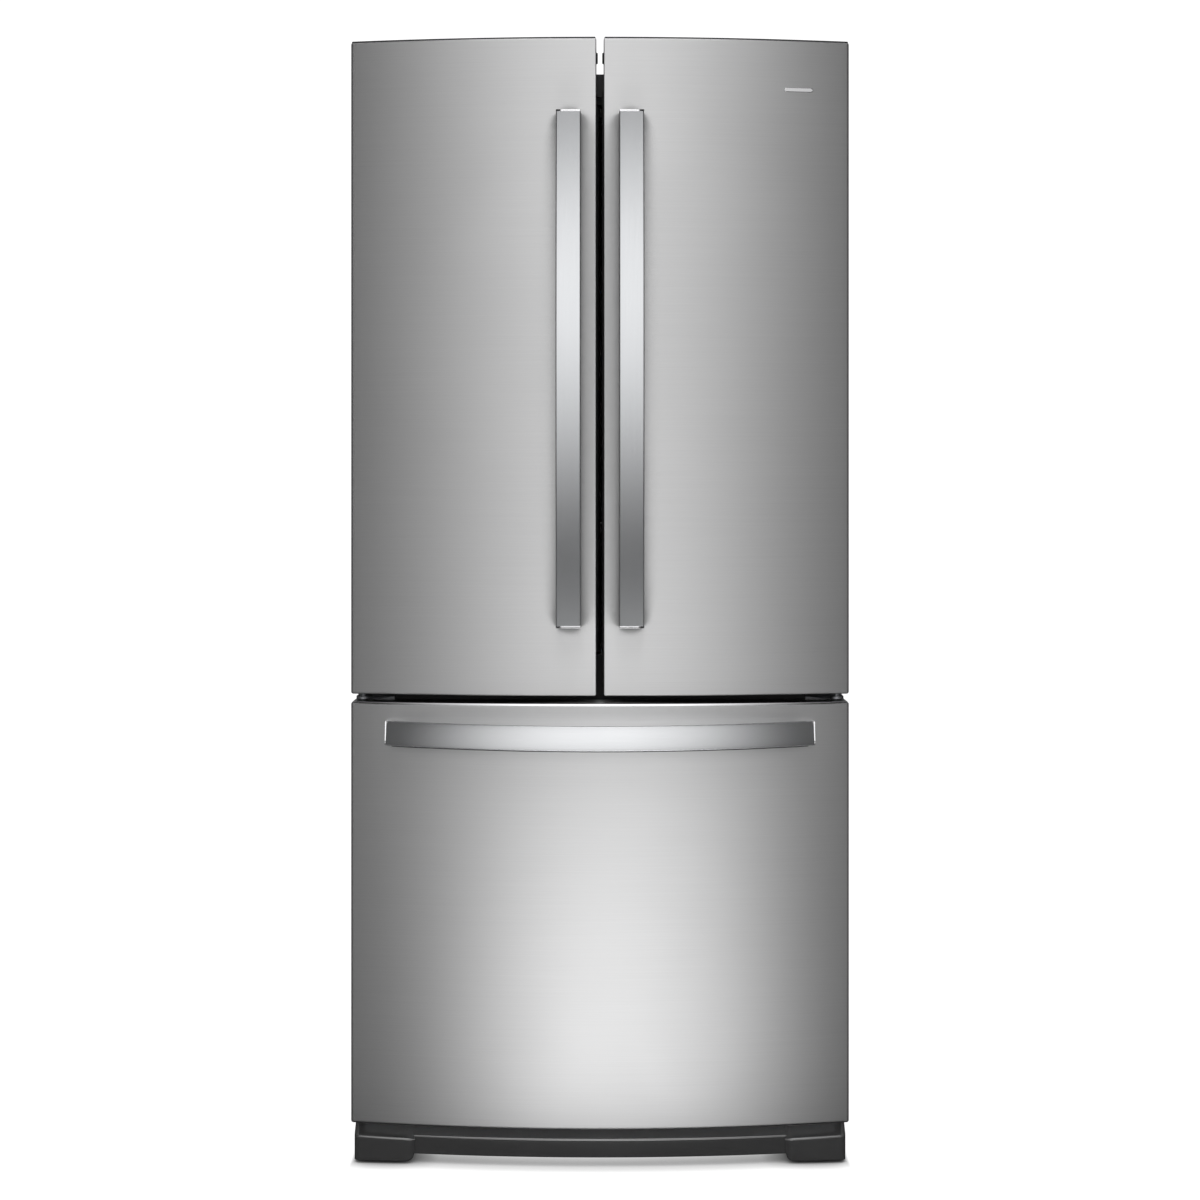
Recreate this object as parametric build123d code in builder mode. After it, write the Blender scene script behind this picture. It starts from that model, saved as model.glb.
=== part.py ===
"""French door refrigerator over a freezer drawer, every piece as its own solid. Millimetres."""

import os
from math import asin, degrees, radians, sin, sqrt

from build123d import *

os.makedirs("parts", exist_ok=True)

# Driving dimensions. X runs to the right, -Y to the front, +Z up from the floor.
WIDTH = 755.0  # over both upper doors
HEIGHT = 1705.0  # floor to the top of the doors
DEPTH = 860.0  # middle of the freezer handle to the back
CABINET_WIDTH = 749.0
CABINET_TOP = 1669.0
CABINET_BOTTOM = 40.0
DOOR_GAP = 11.0  # between the two upper doors
DOOR_BOTTOM = 716.0
DRAWER_TOP = 704.0
DRAWER_BOTTOM = 66.0
BOW = 36.0  # how far the middle of the fronts stands ahead of their sides
HANDLE_REACH = 62.0  # freezer handle's middle ahead of the drawer front
EDGE_THICKNESS = 60.0  # of doors and drawer at their sides
SEAL = 12.0
SHEET = 1.0  # cabinet steel
SKIN = 1.2  # stainless fronts
LINER = 3.0  # plastic liners
FIT = 0.05  # radial clearance of pins and axles
CLEAR = 0.3  # between bodies that only pass each other

# Planes and outlines worked out from them.
BACK = DEPTH / 2
NOSE = -DEPTH / 2 + HANDLE_REACH  # front of the bowed fronts, at the middle
DOOR_BACK = NOSE + BOW + EDGE_THICKNESS
CABINET_FRONT = DOOR_BACK + SEAL
HALF = WIDTH / 2
CABINET_HALF = CABINET_WIDTH / 2
INNER_HALF = CABINET_HALF - SHEET
RADIUS = (HALF**2 + BOW**2) / (2 * BOW)
ARC_CENTRE = NOSE + RADIUS
FLANGE_BACK = CABINET_FRONT + SHEET

CAVITY_HALF = 325.0  # both food compartments
FRESH_FLOOR = 770.0
FRESH_CEILING = 1634.0
FRESH_BACK = 355.0
FREEZER_FLOOR = 95.0
FREEZER_CEILING = 655.0
FREEZER_BACK = 345.0
STEP_FRONT = 125.0  # the freezer floor steps up over the machine compartment
STEP_TOP = 315.0
MACHINE_FRONT = 180.0
MACHINE_TOP = 262.0
FOAM_BOTTOM = 58.0

HINGE_X = 362.0  # door pivots
HINGE_Y = DOOR_BACK - 30.0
PIN_RADIUS = 5.0
CAP = 25.0  # door bottom cap
TOP_CAP = 60.0
NOTCH_FLOOR = 1667.0  # door corner under the top hinge arm
MULLION_PIVOT_X = -42.0
MULLION_KNUCKLE = 8.0


def block(x, y, z, mode=Mode.ADD):
    """Rectangular block between two corners, each span given as (low, high)."""
    middle = ((x[0] + x[1]) / 2, (y[0] + y[1]) / 2, (z[0] + z[1]) / 2)
    with Locations(middle):
        Box(x[1] - x[0], y[1] - y[0], z[1] - z[0], mode=mode)


def rod(start, end, radius, mode=Mode.ADD):
    """Round rod between two points."""
    direction = Vector(*end) - Vector(*start)
    with BuildSketch(Plane(origin=start, z_dir=direction)) as section:
        Circle(radius)
    extrude(section.sketch, amount=direction.length, mode=mode)


def span(side, near, far):
    """Span from near to far on the left (-1) or right (+1) side, low end first."""
    return tuple(sorted((side * near, side * far)))


def bowed_front(x, inset=0.0):
    """Y of the bowed front at x, set in by inset."""
    return ARC_CENTRE - sqrt((RADIUS - inset) ** 2 - x**2)


def bowed_slab(x, rear, z, inset=0.0, corner=0.0, mode=Mode.ADD):
    """Upright slab from the bowed front, set in by inset, back to the rear plane."""
    left, right = x
    middle = (left + right) / 2
    with BuildSketch(Plane.XY.offset(z[0])) as outline:
        with BuildLine():
            ThreePointArc(
                (left, bowed_front(left, inset)),
                (middle, bowed_front(middle, inset)),
                (right, bowed_front(right, inset)),
            )
            Polyline(
                (right, bowed_front(right, inset)),
                (right, rear),
                (left, rear),
                (left, bowed_front(left, inset)),
            )
        make_face()
        if corner:
            fillet(outline.vertices().filter_by(lambda v: v.Y < rear - 1), corner)
    extrude(outline.sketch, amount=z[1] - z[0], mode=mode)


def frame_ring(x, y, z, border, mode=Mode.ADD):
    """Upright rectangular frame in the XZ plane, border wide."""
    block(x, y, z, mode)
    block(
        (x[0] + border, x[1] - border),
        (y[0] - 1, y[1] + 1),
        (z[0] + border, z[1] - border),
        Mode.SUBTRACT,
    )


def open_box(x, y, z, wall, mode=Mode.ADD):
    """Box open at the top."""
    block(x, y, z, mode)
    block((x[0] + wall, x[1] - wall), (y[0] + wall, y[1] - wall), (z[0] + wall, z[1] + 1), Mode.SUBTRACT)


def write(piece, name):
    """Label the finished piece and write its STEP file."""
    piece.part.label = name
    export_step(piece.part, f"parts/{name}.step")


# ---- Cabinet ----
with BuildPart() as cabinet_shell:
    block((-CABINET_HALF, CABINET_HALF), (CABINET_FRONT, BACK), (CABINET_BOTTOM, CABINET_TOP))
    block(
        (-INNER_HALF, INNER_HALF),
        (FLANGE_BACK, BACK + 1),
        (CABINET_BOTTOM - 1, CABINET_TOP - SHEET),
        Mode.SUBTRACT,
    )
    block(
        (-CAVITY_HALF, CAVITY_HALF),
        (CABINET_FRONT - 1, FLANGE_BACK + 1),
        (CABINET_BOTTOM - 1, FRESH_CEILING),
        Mode.SUBTRACT,
    )
write(cabinet_shell, "cabinet_shell")

with BuildPart() as rear_panel:
    block((-INNER_HALF, INNER_HALF), (BACK - 3, BACK - 1.8), (MACHINE_TOP + 2, CABINET_TOP - SHEET))
write(rear_panel, "rear_panel")

FOOT_X = 330.0
FOOT_Y = -225.0
STUD_RADIUS = 5.0
with BuildPart() as base_pan:
    block((-INNER_HALF, INNER_HALF), (FLANGE_BACK, BACK - 3), (CABINET_BOTTOM, CABINET_BOTTOM + 2))
    block((-CAVITY_HALF, CAVITY_HALF), (CABINET_FRONT, FLANGE_BACK), (CABINET_BOTTOM, FREEZER_FLOOR))
    block(
        (-INNER_HALF, INNER_HALF),
        (MACHINE_FRONT, MACHINE_FRONT + 2),
        (CABINET_BOTTOM + 2, MACHINE_TOP + 2),
    )
    block((-INNER_HALF, INNER_HALF), (MACHINE_FRONT + 2, BACK - 3), (MACHINE_TOP, MACHINE_TOP + 2))
    with Locations((FOOT_X, FOOT_Y, CABINET_BOTTOM), (-FOOT_X, FOOT_Y, CABINET_BOTTOM)):
        Cylinder(STUD_RADIUS + 1, 10, mode=Mode.SUBTRACT)
write(base_pan, "base_pan")

LINER_HALF = CAVITY_HALF + LINER
with BuildPart() as fresh_food_liner:
    block(
        (-LINER_HALF, LINER_HALF),
        (FLANGE_BACK, FRESH_BACK + LINER),
        (FRESH_FLOOR - LINER, FRESH_CEILING + LINER),
    )
    block(
        (-CAVITY_HALF, CAVITY_HALF),
        (FLANGE_BACK - 1, FRESH_BACK),
        (FRESH_FLOOR, FRESH_CEILING),
        Mode.SUBTRACT,
    )
    rear_corners = fresh_food_liner.edges().filter_by(Axis.Z).filter_by(
        lambda e: abs(e.center().Y - FRESH_BACK) < 1 and abs(abs(e.center().X) - CAVITY_HALF) < 1
    )
    fillet(rear_corners, 12)
write(fresh_food_liner, "fresh_food_liner")

BASKET_RIB_TOP = 524.6
with BuildPart() as freezer_liner:
    block(
        (-LINER_HALF, LINER_HALF),
        (FLANGE_BACK, STEP_FRONT + LINER),
        (FREEZER_FLOOR - LINER, FREEZER_CEILING + LINER),
    )
    block(
        (-LINER_HALF, LINER_HALF),
        (FLANGE_BACK, FREEZER_BACK + LINER),
        (STEP_TOP - LINER, FREEZER_CEILING + LINER),
    )
    block(
        (-CAVITY_HALF, CAVITY_HALF),
        (FLANGE_BACK - 1, STEP_FRONT),
        (FREEZER_FLOOR, FREEZER_CEILING),
        Mode.SUBTRACT,
    )
    block(
        (-CAVITY_HALF, CAVITY_HALF),
        (FLANGE_BACK - 1, FREEZER_BACK),
        (STEP_TOP, FREEZER_CEILING),
        Mode.SUBTRACT,
    )
    for side in (-1, 1):
        block(span(side, CAVITY_HALF - 13, CAVITY_HALF), (-236, 275), (BASKET_RIB_TOP - 7, BASKET_RIB_TOP))
write(freezer_liner, "freezer_liner")

RAIL_BOTTOM = FREEZER_CEILING + LINER + 1
RAIL_TOP = FRESH_FLOOR - LINER - 1
RAIL_BACK = FLANGE_BACK + 5
with BuildPart() as foam_insulation:
    block((-INNER_HALF, INNER_HALF), (FLANGE_BACK, BACK - 3), (FOAM_BOTTOM, CABINET_TOP - SHEET))
    block(
        (-LINER_HALF, LINER_HALF),
        (FLANGE_BACK - 1, FRESH_BACK + LINER),
        (FRESH_FLOOR - LINER, FRESH_CEILING + LINER),
        Mode.SUBTRACT,
    )
    block(
        (-LINER_HALF, LINER_HALF),
        (FLANGE_BACK - 1, STEP_FRONT + LINER),
        (FREEZER_FLOOR - LINER, FREEZER_CEILING + LINER),
        Mode.SUBTRACT,
    )
    block(
        (-LINER_HALF, LINER_HALF),
        (FLANGE_BACK - 1, FREEZER_BACK + LINER),
        (STEP_TOP - LINER, FREEZER_CEILING + LINER),
        Mode.SUBTRACT,
    )
    block(
        (-INNER_HALF - 1, INNER_HALF + 1),
        (MACHINE_FRONT, BACK),
        (FOAM_BOTTOM - 1, MACHINE_TOP + 2),
        Mode.SUBTRACT,
    )
    block((-CAVITY_HALF, CAVITY_HALF), (FLANGE_BACK - 1, RAIL_BACK), (RAIL_BOTTOM, RAIL_TOP), Mode.SUBTRACT)
write(foam_insulation, "foam_insulation")

with BuildPart() as center_rail:
    block((-CAVITY_HALF, CAVITY_HALF), (CABINET_FRONT, FLANGE_BACK), (FREEZER_CEILING, FRESH_FLOOR))
    block((-CAVITY_HALF, CAVITY_HALF), (FLANGE_BACK, RAIL_BACK), (RAIL_BOTTOM, RAIL_TOP))
write(center_rail, "center_rail")

# ---- Hinges ----
ARM_HALF = 10.5
PLATE = 4.0
HINGE_BASE = (320.0, 372.5)  # width of the plate bolted to the cabinet
HINGE_BASE_Y = (-255.0, -190.0)
PIN_TIP = 1645.0
COVER_WALL = 2.0
COVER_HALF = ARM_HALF + COVER_WALL + 0.5
COVER_TOP = 1697.0


def hinge_outline(side, grow, z, thickness, mode=Mode.ADD):
    """Arm with a round end at the pin, widening to a base on the cabinet."""
    base = (HINGE_BASE[0] - grow, min(HINGE_BASE[1] + grow, CABINET_HALF))
    block(
        span(side, HINGE_X - ARM_HALF - grow, HINGE_X + ARM_HALF + grow),
        (HINGE_Y, HINGE_BASE_Y[0]),
        (z, z + thickness),
        mode,
    )
    block(span(side, *base), (HINGE_BASE_Y[0] - grow, HINGE_BASE_Y[1] + grow), (z, z + thickness), mode)
    rod((side * HINGE_X, HINGE_Y, z), (side * HINGE_X, HINGE_Y, z + thickness), ARM_HALF + grow, mode)


with BuildPart() as top_hinges:
    for side in (-1, 1):
        hinge_outline(side, 0, CABINET_TOP, PLATE)
        rod((side * HINGE_X, HINGE_Y, PIN_TIP), (side * HINGE_X, HINGE_Y, CABINET_TOP + 1), PIN_RADIUS)
write(top_hinges, "top_hinges")

with BuildPart() as hinge_covers:
    for side in (-1, 1):
        hinge_outline(side, COVER_HALF - ARM_HALF, CABINET_TOP, COVER_TOP - CABINET_TOP)
        hinge_outline(side, 0.5, CABINET_TOP - 1, COVER_TOP - COVER_WALL - CABINET_TOP + 1, Mode.SUBTRACT)
    fillet(hinge_covers.edges().group_by(Axis.Z)[-1], 1.5)
write(hinge_covers, "hinge_covers")

MID_PLATE = (706.0, 710.0)
MID_TAB = (694.0, 722.0)
with BuildPart() as mid_hinges:
    for side in (-1, 1):
        with BuildSketch(Plane.XY.offset(MID_PLATE[0])) as plate_outline:
            with BuildLine():
                Polyline(
                    (side * (HINGE_X + ARM_HALF), CABINET_FRONT),
                    (side * (HINGE_X + ARM_HALF), HINGE_Y),
                    (side * (HINGE_X - ARM_HALF), HINGE_Y),
                    (side * (HINGE_X - 44), CABINET_FRONT - 8),
                    (side * (HINGE_X - 44), CABINET_FRONT),
                    close=True,
                )
            make_face()
        extrude(plate_outline.sketch, amount=MID_PLATE[1] - MID_PLATE[0])
        rod((side * HINGE_X, HINGE_Y, MID_PLATE[0]), (side * HINGE_X, HINGE_Y, MID_PLATE[1]), ARM_HALF)
        block(span(side, HINGE_X - 44, HINGE_X + ARM_HALF), (CABINET_FRONT - 3, CABINET_FRONT), MID_TAB)
        rod(
            (side * HINGE_X, HINGE_Y, MID_PLATE[0]),
            (side * HINGE_X, HINGE_Y, DOOR_BOTTOM + CAP - 3),
            PIN_RADIUS,
        )
write(mid_hinges, "mid_hinges")

MULLION_TOP = 1619.0
with BuildPart() as mullion_guide:
    block((-50, 50), (CABINET_FRONT + 6, CABINET_FRONT + 36), (MULLION_TOP + 3, FRESH_CEILING))
    block(
        (-38, 38),
        (CABINET_FRONT + 14, CABINET_FRONT + 22),
        (MULLION_TOP + 2, MULLION_TOP + 9),
        Mode.SUBTRACT,
    )
write(mullion_guide, "mullion_guide")

# ---- Base ----
COVER_INNER_X = 290.0
COVER_FRONT = -322.0
with BuildPart() as foot_covers:
    block((COVER_INNER_X, CABINET_HALF), (COVER_FRONT, CABINET_FRONT), (4, 60))
    outer = foot_covers.edges().filter_by(Axis.Y).group_by(Axis.X)[-1].sort_by(Axis.Z)[-1]
    chamfer(outer, 5, 17, reference=foot_covers.faces().sort_by(Axis.Z)[-1])
    front = foot_covers.edges().filter_by(Axis.X).group_by(Axis.Y)[0].sort_by(Axis.Z)[-1]
    chamfer(front, 20, 18, reference=foot_covers.faces().sort_by(Axis.Z)[-1])
    inner = foot_covers.edges().filter_by(Axis.Y).group_by(Axis.X)[0].sort_by(Axis.Z)[0]
    chamfer(inner, 14)
    offset(amount=-3, openings=foot_covers.faces().sort_by(Axis.Y)[-1])
    mirror(about=Plane.YZ)
write(foot_covers, "foot_covers")

GRILLE_FRONT = -336.0
GRILLE_RIDGE = 42.0
GRILLE_BOTTOM = 14.0
GRILLE_TOP = 62.0
GRILLE_WALL = 3.0
grille_angle = 2 * degrees(asin(CABINET_HALF / RADIUS))
with BuildPart() as base_grille:
    with BuildSketch(Plane.YZ):
        with BuildLine():
            Polyline(
                (GRILLE_FRONT, GRILLE_BOTTOM),
                (GRILLE_FRONT, GRILLE_RIDGE),
                (GRILLE_FRONT + 36, GRILLE_TOP),
                (GRILLE_FRONT + 54, GRILLE_TOP),
                (GRILLE_FRONT + 54, GRILLE_TOP - GRILLE_WALL),
                (GRILLE_FRONT + 37, GRILLE_TOP - GRILLE_WALL),
                (GRILLE_FRONT + GRILLE_WALL, GRILLE_RIDGE - 1),
                (GRILLE_FRONT + GRILLE_WALL, GRILLE_BOTTOM),
                close=True,
            )
        make_face()
    revolve(axis=Axis((0, ARC_CENTRE, 0), (0, 0, 1)), revolution_arc=grille_angle / 2)
    mirror(about=Plane.YZ)
    block((-240, 240), (GRILLE_FRONT + 50, CABINET_FRONT), (GRILLE_TOP - GRILLE_WALL, GRILLE_TOP))
    block((-COVER_INNER_X, COVER_INNER_X), (GRILLE_FRONT - 1, CABINET_FRONT), (0, 100), Mode.INTERSECT)
write(base_grille, "base_grille")

ROLLER_RADIUS = 17.5
ROLLER_Y = 370.0
AXLE_RADIUS = 4.0
ROLLER_SPAN = (318.0, 342.0)
with BuildPart() as support_brackets:
    for side in (-1, 1):
        block(span(side, 300, 360), (-250, -200), (22, CABINET_BOTTOM))
        with Locations((side * FOOT_X, FOOT_Y, 31)):
            Cylinder(STUD_RADIUS + FIT, 30, mode=Mode.SUBTRACT)
        block(span(side, 312, 348), (350, 390), (CABINET_BOTTOM - 2, CABINET_BOTTOM))
        block(span(side, 312, 316), (352, 388), (10, CABINET_BOTTOM - 2))
        block(span(side, 344, 348), (352, 388), (10, CABINET_BOTTOM - 2))
        rod((side * 312, ROLLER_Y, ROLLER_RADIUS), (side * 348, ROLLER_Y, ROLLER_RADIUS), AXLE_RADIUS)
        block(span(side, 316, 344), (350, 390), (CABINET_BOTTOM - 2 - 4, CABINET_BOTTOM - 2), Mode.SUBTRACT)
write(support_brackets, "support_brackets")

for side, name in ((-1, "left"), (1, "right")):
    with BuildPart() as rear_roller:
        rod(
            (side * ROLLER_SPAN[0], ROLLER_Y, ROLLER_RADIUS),
            (side * ROLLER_SPAN[1], ROLLER_Y, ROLLER_RADIUS),
            ROLLER_RADIUS - 2.5,
        )
        rod(
            (side * ROLLER_SPAN[0], ROLLER_Y, ROLLER_RADIUS),
            (side * ROLLER_SPAN[1], ROLLER_Y, ROLLER_RADIUS),
            AXLE_RADIUS + FIT,
            Mode.SUBTRACT,
        )
        tread_plane = Plane(origin=(side * (ROLLER_SPAN[0] + 3), ROLLER_Y, ROLLER_RADIUS), z_dir=(side, 0, 0))
        with BuildSketch(tread_plane) as tread:
            Circle(ROLLER_RADIUS)
            Circle(ROLLER_RADIUS - 4, mode=Mode.SUBTRACT)
        extrude(tread.sketch, amount=18)
    write(rear_roller, f"rear_roller_{name}")

    with BuildPart() as leveling_foot:
        with BuildSketch():
            with Locations((side * FOOT_X, FOOT_Y)):
                RegularPolygon(17, 6)
        extrude(amount=10)
        with Locations((side * FOOT_X, FOOT_Y, 31)):
            Cylinder(STUD_RADIUS, 46)
    write(leveling_foot, f"leveling_foot_{name}")

# ---- Machine compartment ----
PAN_TOP = CABINET_BOTTOM + 2
with BuildPart() as compressor:
    with Locations((205, 300, PAN_TOP + 83)):
        Cylinder(82, 130)
    fillet(compressor.edges().filter_by(GeomType.CIRCLE), 34)
    block((105, 305), (215, 385), (PAN_TOP + 8, PAN_TOP + 20))
    for x in (120, 290):
        for y in (230, 370):
            rod((x, y, PAN_TOP), (x, y, PAN_TOP + 9), 11)
    rod((150, 365, PAN_TOP + 100), (150, 365, PAN_TOP + 190), 5)
    rod((175, 235, PAN_TOP + 100), (175, 235, PAN_TOP + 180), 4)
write(compressor, "compressor")

FAN_Y = 300.0
FAN_Z = 150.0
SHROUD_X = (0.0, 3.0)
with BuildPart() as condenser_fan_shroud:
    block(SHROUD_X, (205, 400), (PAN_TOP, MACHINE_TOP - 4))
    rod((-1, FAN_Y, FAN_Z), (4, FAN_Y, FAN_Z), 70, Mode.SUBTRACT)
    block(SHROUD_X, (FAN_Y - 72, FAN_Y + 72), (FAN_Z - 5, FAN_Z + 5))
    block(SHROUD_X, (FAN_Y - 5, FAN_Y + 5), (FAN_Z - 72, FAN_Z + 72))
    rod((-24, FAN_Y, FAN_Z), (1, FAN_Y, FAN_Z), 20)
    rod((2, FAN_Y, FAN_Z), (28, FAN_Y, FAN_Z), 3)
write(condenser_fan_shroud, "condenser_fan_shroud")


def fan_wheel(plane, radius, blades):
    """Hub with a shaft hole and pitched blades, on the given plane at the hub's near face."""
    hub_radius = 13
    with BuildSketch(plane) as hub:
        Circle(hub_radius)
        Circle(3 + FIT, mode=Mode.SUBTRACT)
    extrude(hub.sketch, amount=18)
    blade_length = radius - hub_radius + 3
    with Locations(plane.offset(9).location):
        with PolarLocations(radius - blade_length / 2, blades):
            Box(blade_length, 24, 1.6, rotation=(28, 0, 0))


with BuildPart() as condenser_fan:
    fan_wheel(Plane(origin=(6, FAN_Y, FAN_Z), x_dir=(0, 1, 0), z_dir=(1, 0, 0)), 64, 5)
write(condenser_fan, "condenser_fan")

with BuildPart() as condenser:
    for x in range(-330, -59, 15):
        block((x, x + 1), (215, 385), (PAN_TOP + 24, PAN_TOP + 184))
    for y in (245, 300, 355):
        for z in (PAN_TOP + 54, PAN_TOP + 104, PAN_TOP + 154):
            rod((-338, y, z), (-51, y, z), 4)
write(condenser, "condenser")

with BuildPart() as drain_pan:
    open_box((-335, -55), (205, 400), (PAN_TOP + 1, PAN_TOP + 20), 2)
write(drain_pan, "drain_pan")

with BuildPart() as machine_cover:
    block((-INNER_HALF + 1, INNER_HALF - 1), (BACK - 3, BACK), (PAN_TOP + 2, MACHINE_TOP))
    for x in (-200, 200):
        for z in (110, 190):
            with Locations((x, BACK - 1.5, z)):
                with GridLocations(16, 1, 14, 1):
                    Box(6, 10, 56, mode=Mode.SUBTRACT)
    rod((-30, BACK - 8, 90), (-30, BACK + 4, 90), 9, Mode.SUBTRACT)
write(machine_cover, "machine_cover")

# ---- Freezer air system ----
EVAP_COVER_Y = 285.0
EVAP_FAN_Z = 560.0
with BuildPart() as evaporator_cover:
    block(
        (-CAVITY_HALF + 1, CAVITY_HALF - 1),
        (EVAP_COVER_Y, EVAP_COVER_Y + 3),
        (STEP_TOP + 1, FREEZER_CEILING - 1),
    )
    rod((0, EVAP_COVER_Y - 1, EVAP_FAN_Z), (0, EVAP_COVER_Y + 4, EVAP_FAN_Z), 56, Mode.SUBTRACT)
    block((-58, 58), (EVAP_COVER_Y, EVAP_COVER_Y + 3), (EVAP_FAN_Z - 5, EVAP_FAN_Z + 5))
    block((-5, 5), (EVAP_COVER_Y, EVAP_COVER_Y + 3), (EVAP_FAN_Z - 58, EVAP_FAN_Z + 58))
    rod((0, EVAP_COVER_Y + 2, EVAP_FAN_Z), (0, EVAP_COVER_Y + 28, EVAP_FAN_Z), 3)
    with Locations((0, EVAP_COVER_Y + 1.5, 350)):
        with GridLocations(28, 1, 16, 1):
            Box(16, 10, 18, mode=Mode.SUBTRACT)
write(evaporator_cover, "evaporator_cover")

with BuildPart() as evaporator_fan:
    fan_wheel(Plane(origin=(0, EVAP_COVER_Y + 6, EVAP_FAN_Z), x_dir=(1, 0, 0), z_dir=(0, 1, 0)), 50, 5)
write(evaporator_fan, "evaporator_fan")

with BuildPart() as evaporator:
    for x in range(-260, 261, 20):
        block((x, x + 1), (EVAP_COVER_Y + 12, FREEZER_BACK - 4), (STEP_TOP + 8, STEP_TOP + 150))
    for y in (EVAP_COVER_Y + 22, EVAP_COVER_Y + 44):
        for z in (STEP_TOP + 30, STEP_TOP + 65, STEP_TOP + 100, STEP_TOP + 135):
            rod((-270, y, z), (272, y, z), 4)
write(evaporator, "evaporator")

# ---- Fresh food interior ----
LADDER_X = (60.0, 306.0)
LADDER_FRONT = FRESH_BACK - 6
TOWER_HALF = 44.0
with BuildPart() as air_tower:
    block((-TOWER_HALF, TOWER_HALF), (FRESH_BACK - 18, FRESH_BACK), (1000, 1600))
    fillet(air_tower.edges().filter_by(Axis.Z).group_by(Axis.Y)[0], 8)
    with Locations((0, FRESH_BACK - 18, 1300)):
        with GridLocations(1, 90, 1, 6):
            Box(56, 12, 9, mode=Mode.SUBTRACT)
write(air_tower, "air_tower")

with BuildPart() as shelf_ladders:
    for side in (-1, 1):
        for x in LADDER_X:
            block(span(side, x - 7, x + 7), (LADDER_FRONT, FRESH_BACK), (1010, 1590))
            with Locations((side * x, LADDER_FRONT, 1300)):
                with GridLocations(1, 28, 1, 20):
                    Box(4, 6, 14, mode=Mode.SUBTRACT)
write(shelf_ladders, "shelf_ladders")

SHELF_X = (8.0, 316.0)
SHELF_Y = (-120.0, 325.0)
SHELF_BORDER = 10.0
GLASS = 5.0
LEFT_SHELVES = (1130.0, 1370.0)
RIGHT_SHELVES = (1190.0, 1370.0)
CRISPER_LID_Z = (958.0, 972.0)
LEDGE_Z = (935.0, 938.5)
with BuildPart() as shelf_frames:
    for side, levels in ((-1, LEFT_SHELVES), (1, RIGHT_SHELVES)):
        for level in levels:
            block(span(side, *SHELF_X), SHELF_Y, (level, level + 14))
            block(
                span(side, SHELF_X[0] + SHELF_BORDER, SHELF_X[1] - SHELF_BORDER),
                (SHELF_Y[0] + SHELF_BORDER, SHELF_Y[1] - SHELF_BORDER),
                (level - 1, level + 15),
                Mode.SUBTRACT,
            )
            for x in LADDER_X:
                block(
                    span(side, x - 3, x + 3),
                    (SHELF_Y[1] - SHELF_BORDER, LADDER_FRONT),
                    (level - 34, level + 12),
                )
            block(
                span(side, LADDER_X[1] - 3, LADDER_X[1] + 3),
                (SHELF_Y[0] + 30, SHELF_Y[1]),
                (level - 16, level),
            )
    block((-322, 322), (-110, 330), CRISPER_LID_Z)
    for side in (-1, 1):
        block(span(side, 8, 304), (-90, 312), (CRISPER_LID_Z[0] - 1, CRISPER_LID_Z[1] + 1), Mode.SUBTRACT)
        block(span(side, 322.5, 325), (-110, 330), (LEDGE_Z[0], CRISPER_LID_Z[1]))
        block(span(side, 319.5, 325), (-110, 330), LEDGE_Z)
        block(span(side, 321, 323), (-110, 330), CRISPER_LID_Z)
    block((-1.2, 1.2), (-90, 330), (LEDGE_Z[0], CRISPER_LID_Z[0]))
    block((-4.6, 4.6), (-90, 330), LEDGE_Z)
write(shelf_frames, "shelf_frames")

with BuildPart() as shelf_glass:
    for side, levels in ((-1, LEFT_SHELVES), (1, RIGHT_SHELVES)):
        for level in levels:
            block(
                span(side, SHELF_X[0] + SHELF_BORDER, SHELF_X[1] - SHELF_BORDER),
                (SHELF_Y[0] + SHELF_BORDER, SHELF_Y[1] - SHELF_BORDER),
                (level + 8, level + 8 + GLASS),
            )
        block(span(side, 8, 304), (-90, 312), (CRISPER_LID_Z[1] - 6, CRISPER_LID_Z[1] - 1))
write(shelf_glass, "shelf_glass")

CRISPER_Z = (778.0, 945.0)
CRISPER_Y = (-95.0, 300.0)
for side, name in ((-1, "left"), (1, "right")):
    with BuildPart() as crisper:
        block(span(side, 3, 320.8), CRISPER_Y, (CRISPER_Z[1] - 6, CRISPER_Z[1]))
        block(span(side, 6.5, 317.5), CRISPER_Y, (CRISPER_Z[0], CRISPER_Z[1] - 6))
        block(
            span(side, 9, 315),
            (CRISPER_Y[0] + 2.5, CRISPER_Y[1] - 2.5),
            (CRISPER_Z[0] + 2.5, CRISPER_Z[1] + 1),
            Mode.SUBTRACT,
        )
        block(span(side, 20, 304), (CRISPER_Y[0] - 14, CRISPER_Y[0]), (CRISPER_Z[1] - 30, CRISPER_Z[1] - 4))
        block(
            span(side, 24, 300),
            (CRISPER_Y[0] - 10, CRISPER_Y[0]),
            (CRISPER_Z[1] - 31, CRISPER_Z[1] - 10),
            Mode.SUBTRACT,
        )
    write(crisper, f"crisper_{name}")

PANEL_Z = (1614.0, FRESH_CEILING)
BUTTON = (0.0, -165.0)
with BuildPart() as control_panel:
    block((-110, 110), (-190, -70), PANEL_Z)
    fillet(control_panel.edges().filter_by(Axis.Z), 10)
    with Locations((BUTTON[0], BUTTON[1], PANEL_Z[0])):
        Cylinder(9, 16, mode=Mode.SUBTRACT)
write(control_panel, "control_panel")

with BuildPart() as temperature_button:
    rod((BUTTON[0], BUTTON[1], PANEL_Z[0] - 3), (BUTTON[0], BUTTON[1], PANEL_Z[0] + 6), 8.5)
    fillet(temperature_button.edges().group_by(Axis.Z)[0], 1)
write(temperature_button, "temperature_button")

# ---- Freezer slides and baskets ----
SLIDE_Y = (-250.0, 110.0)
OUTER_SLIDE = (320.0, 325.0)
MIDDLE_SLIDE = (314.5, 319.5)
INNER_SLIDE = (309.0, 314.0)
with BuildPart() as cabinet_slides:
    for side in (-1, 1):
        block(span(side, *OUTER_SLIDE), SLIDE_Y, (335, 375))
write(cabinet_slides, "cabinet_slides")

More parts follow.
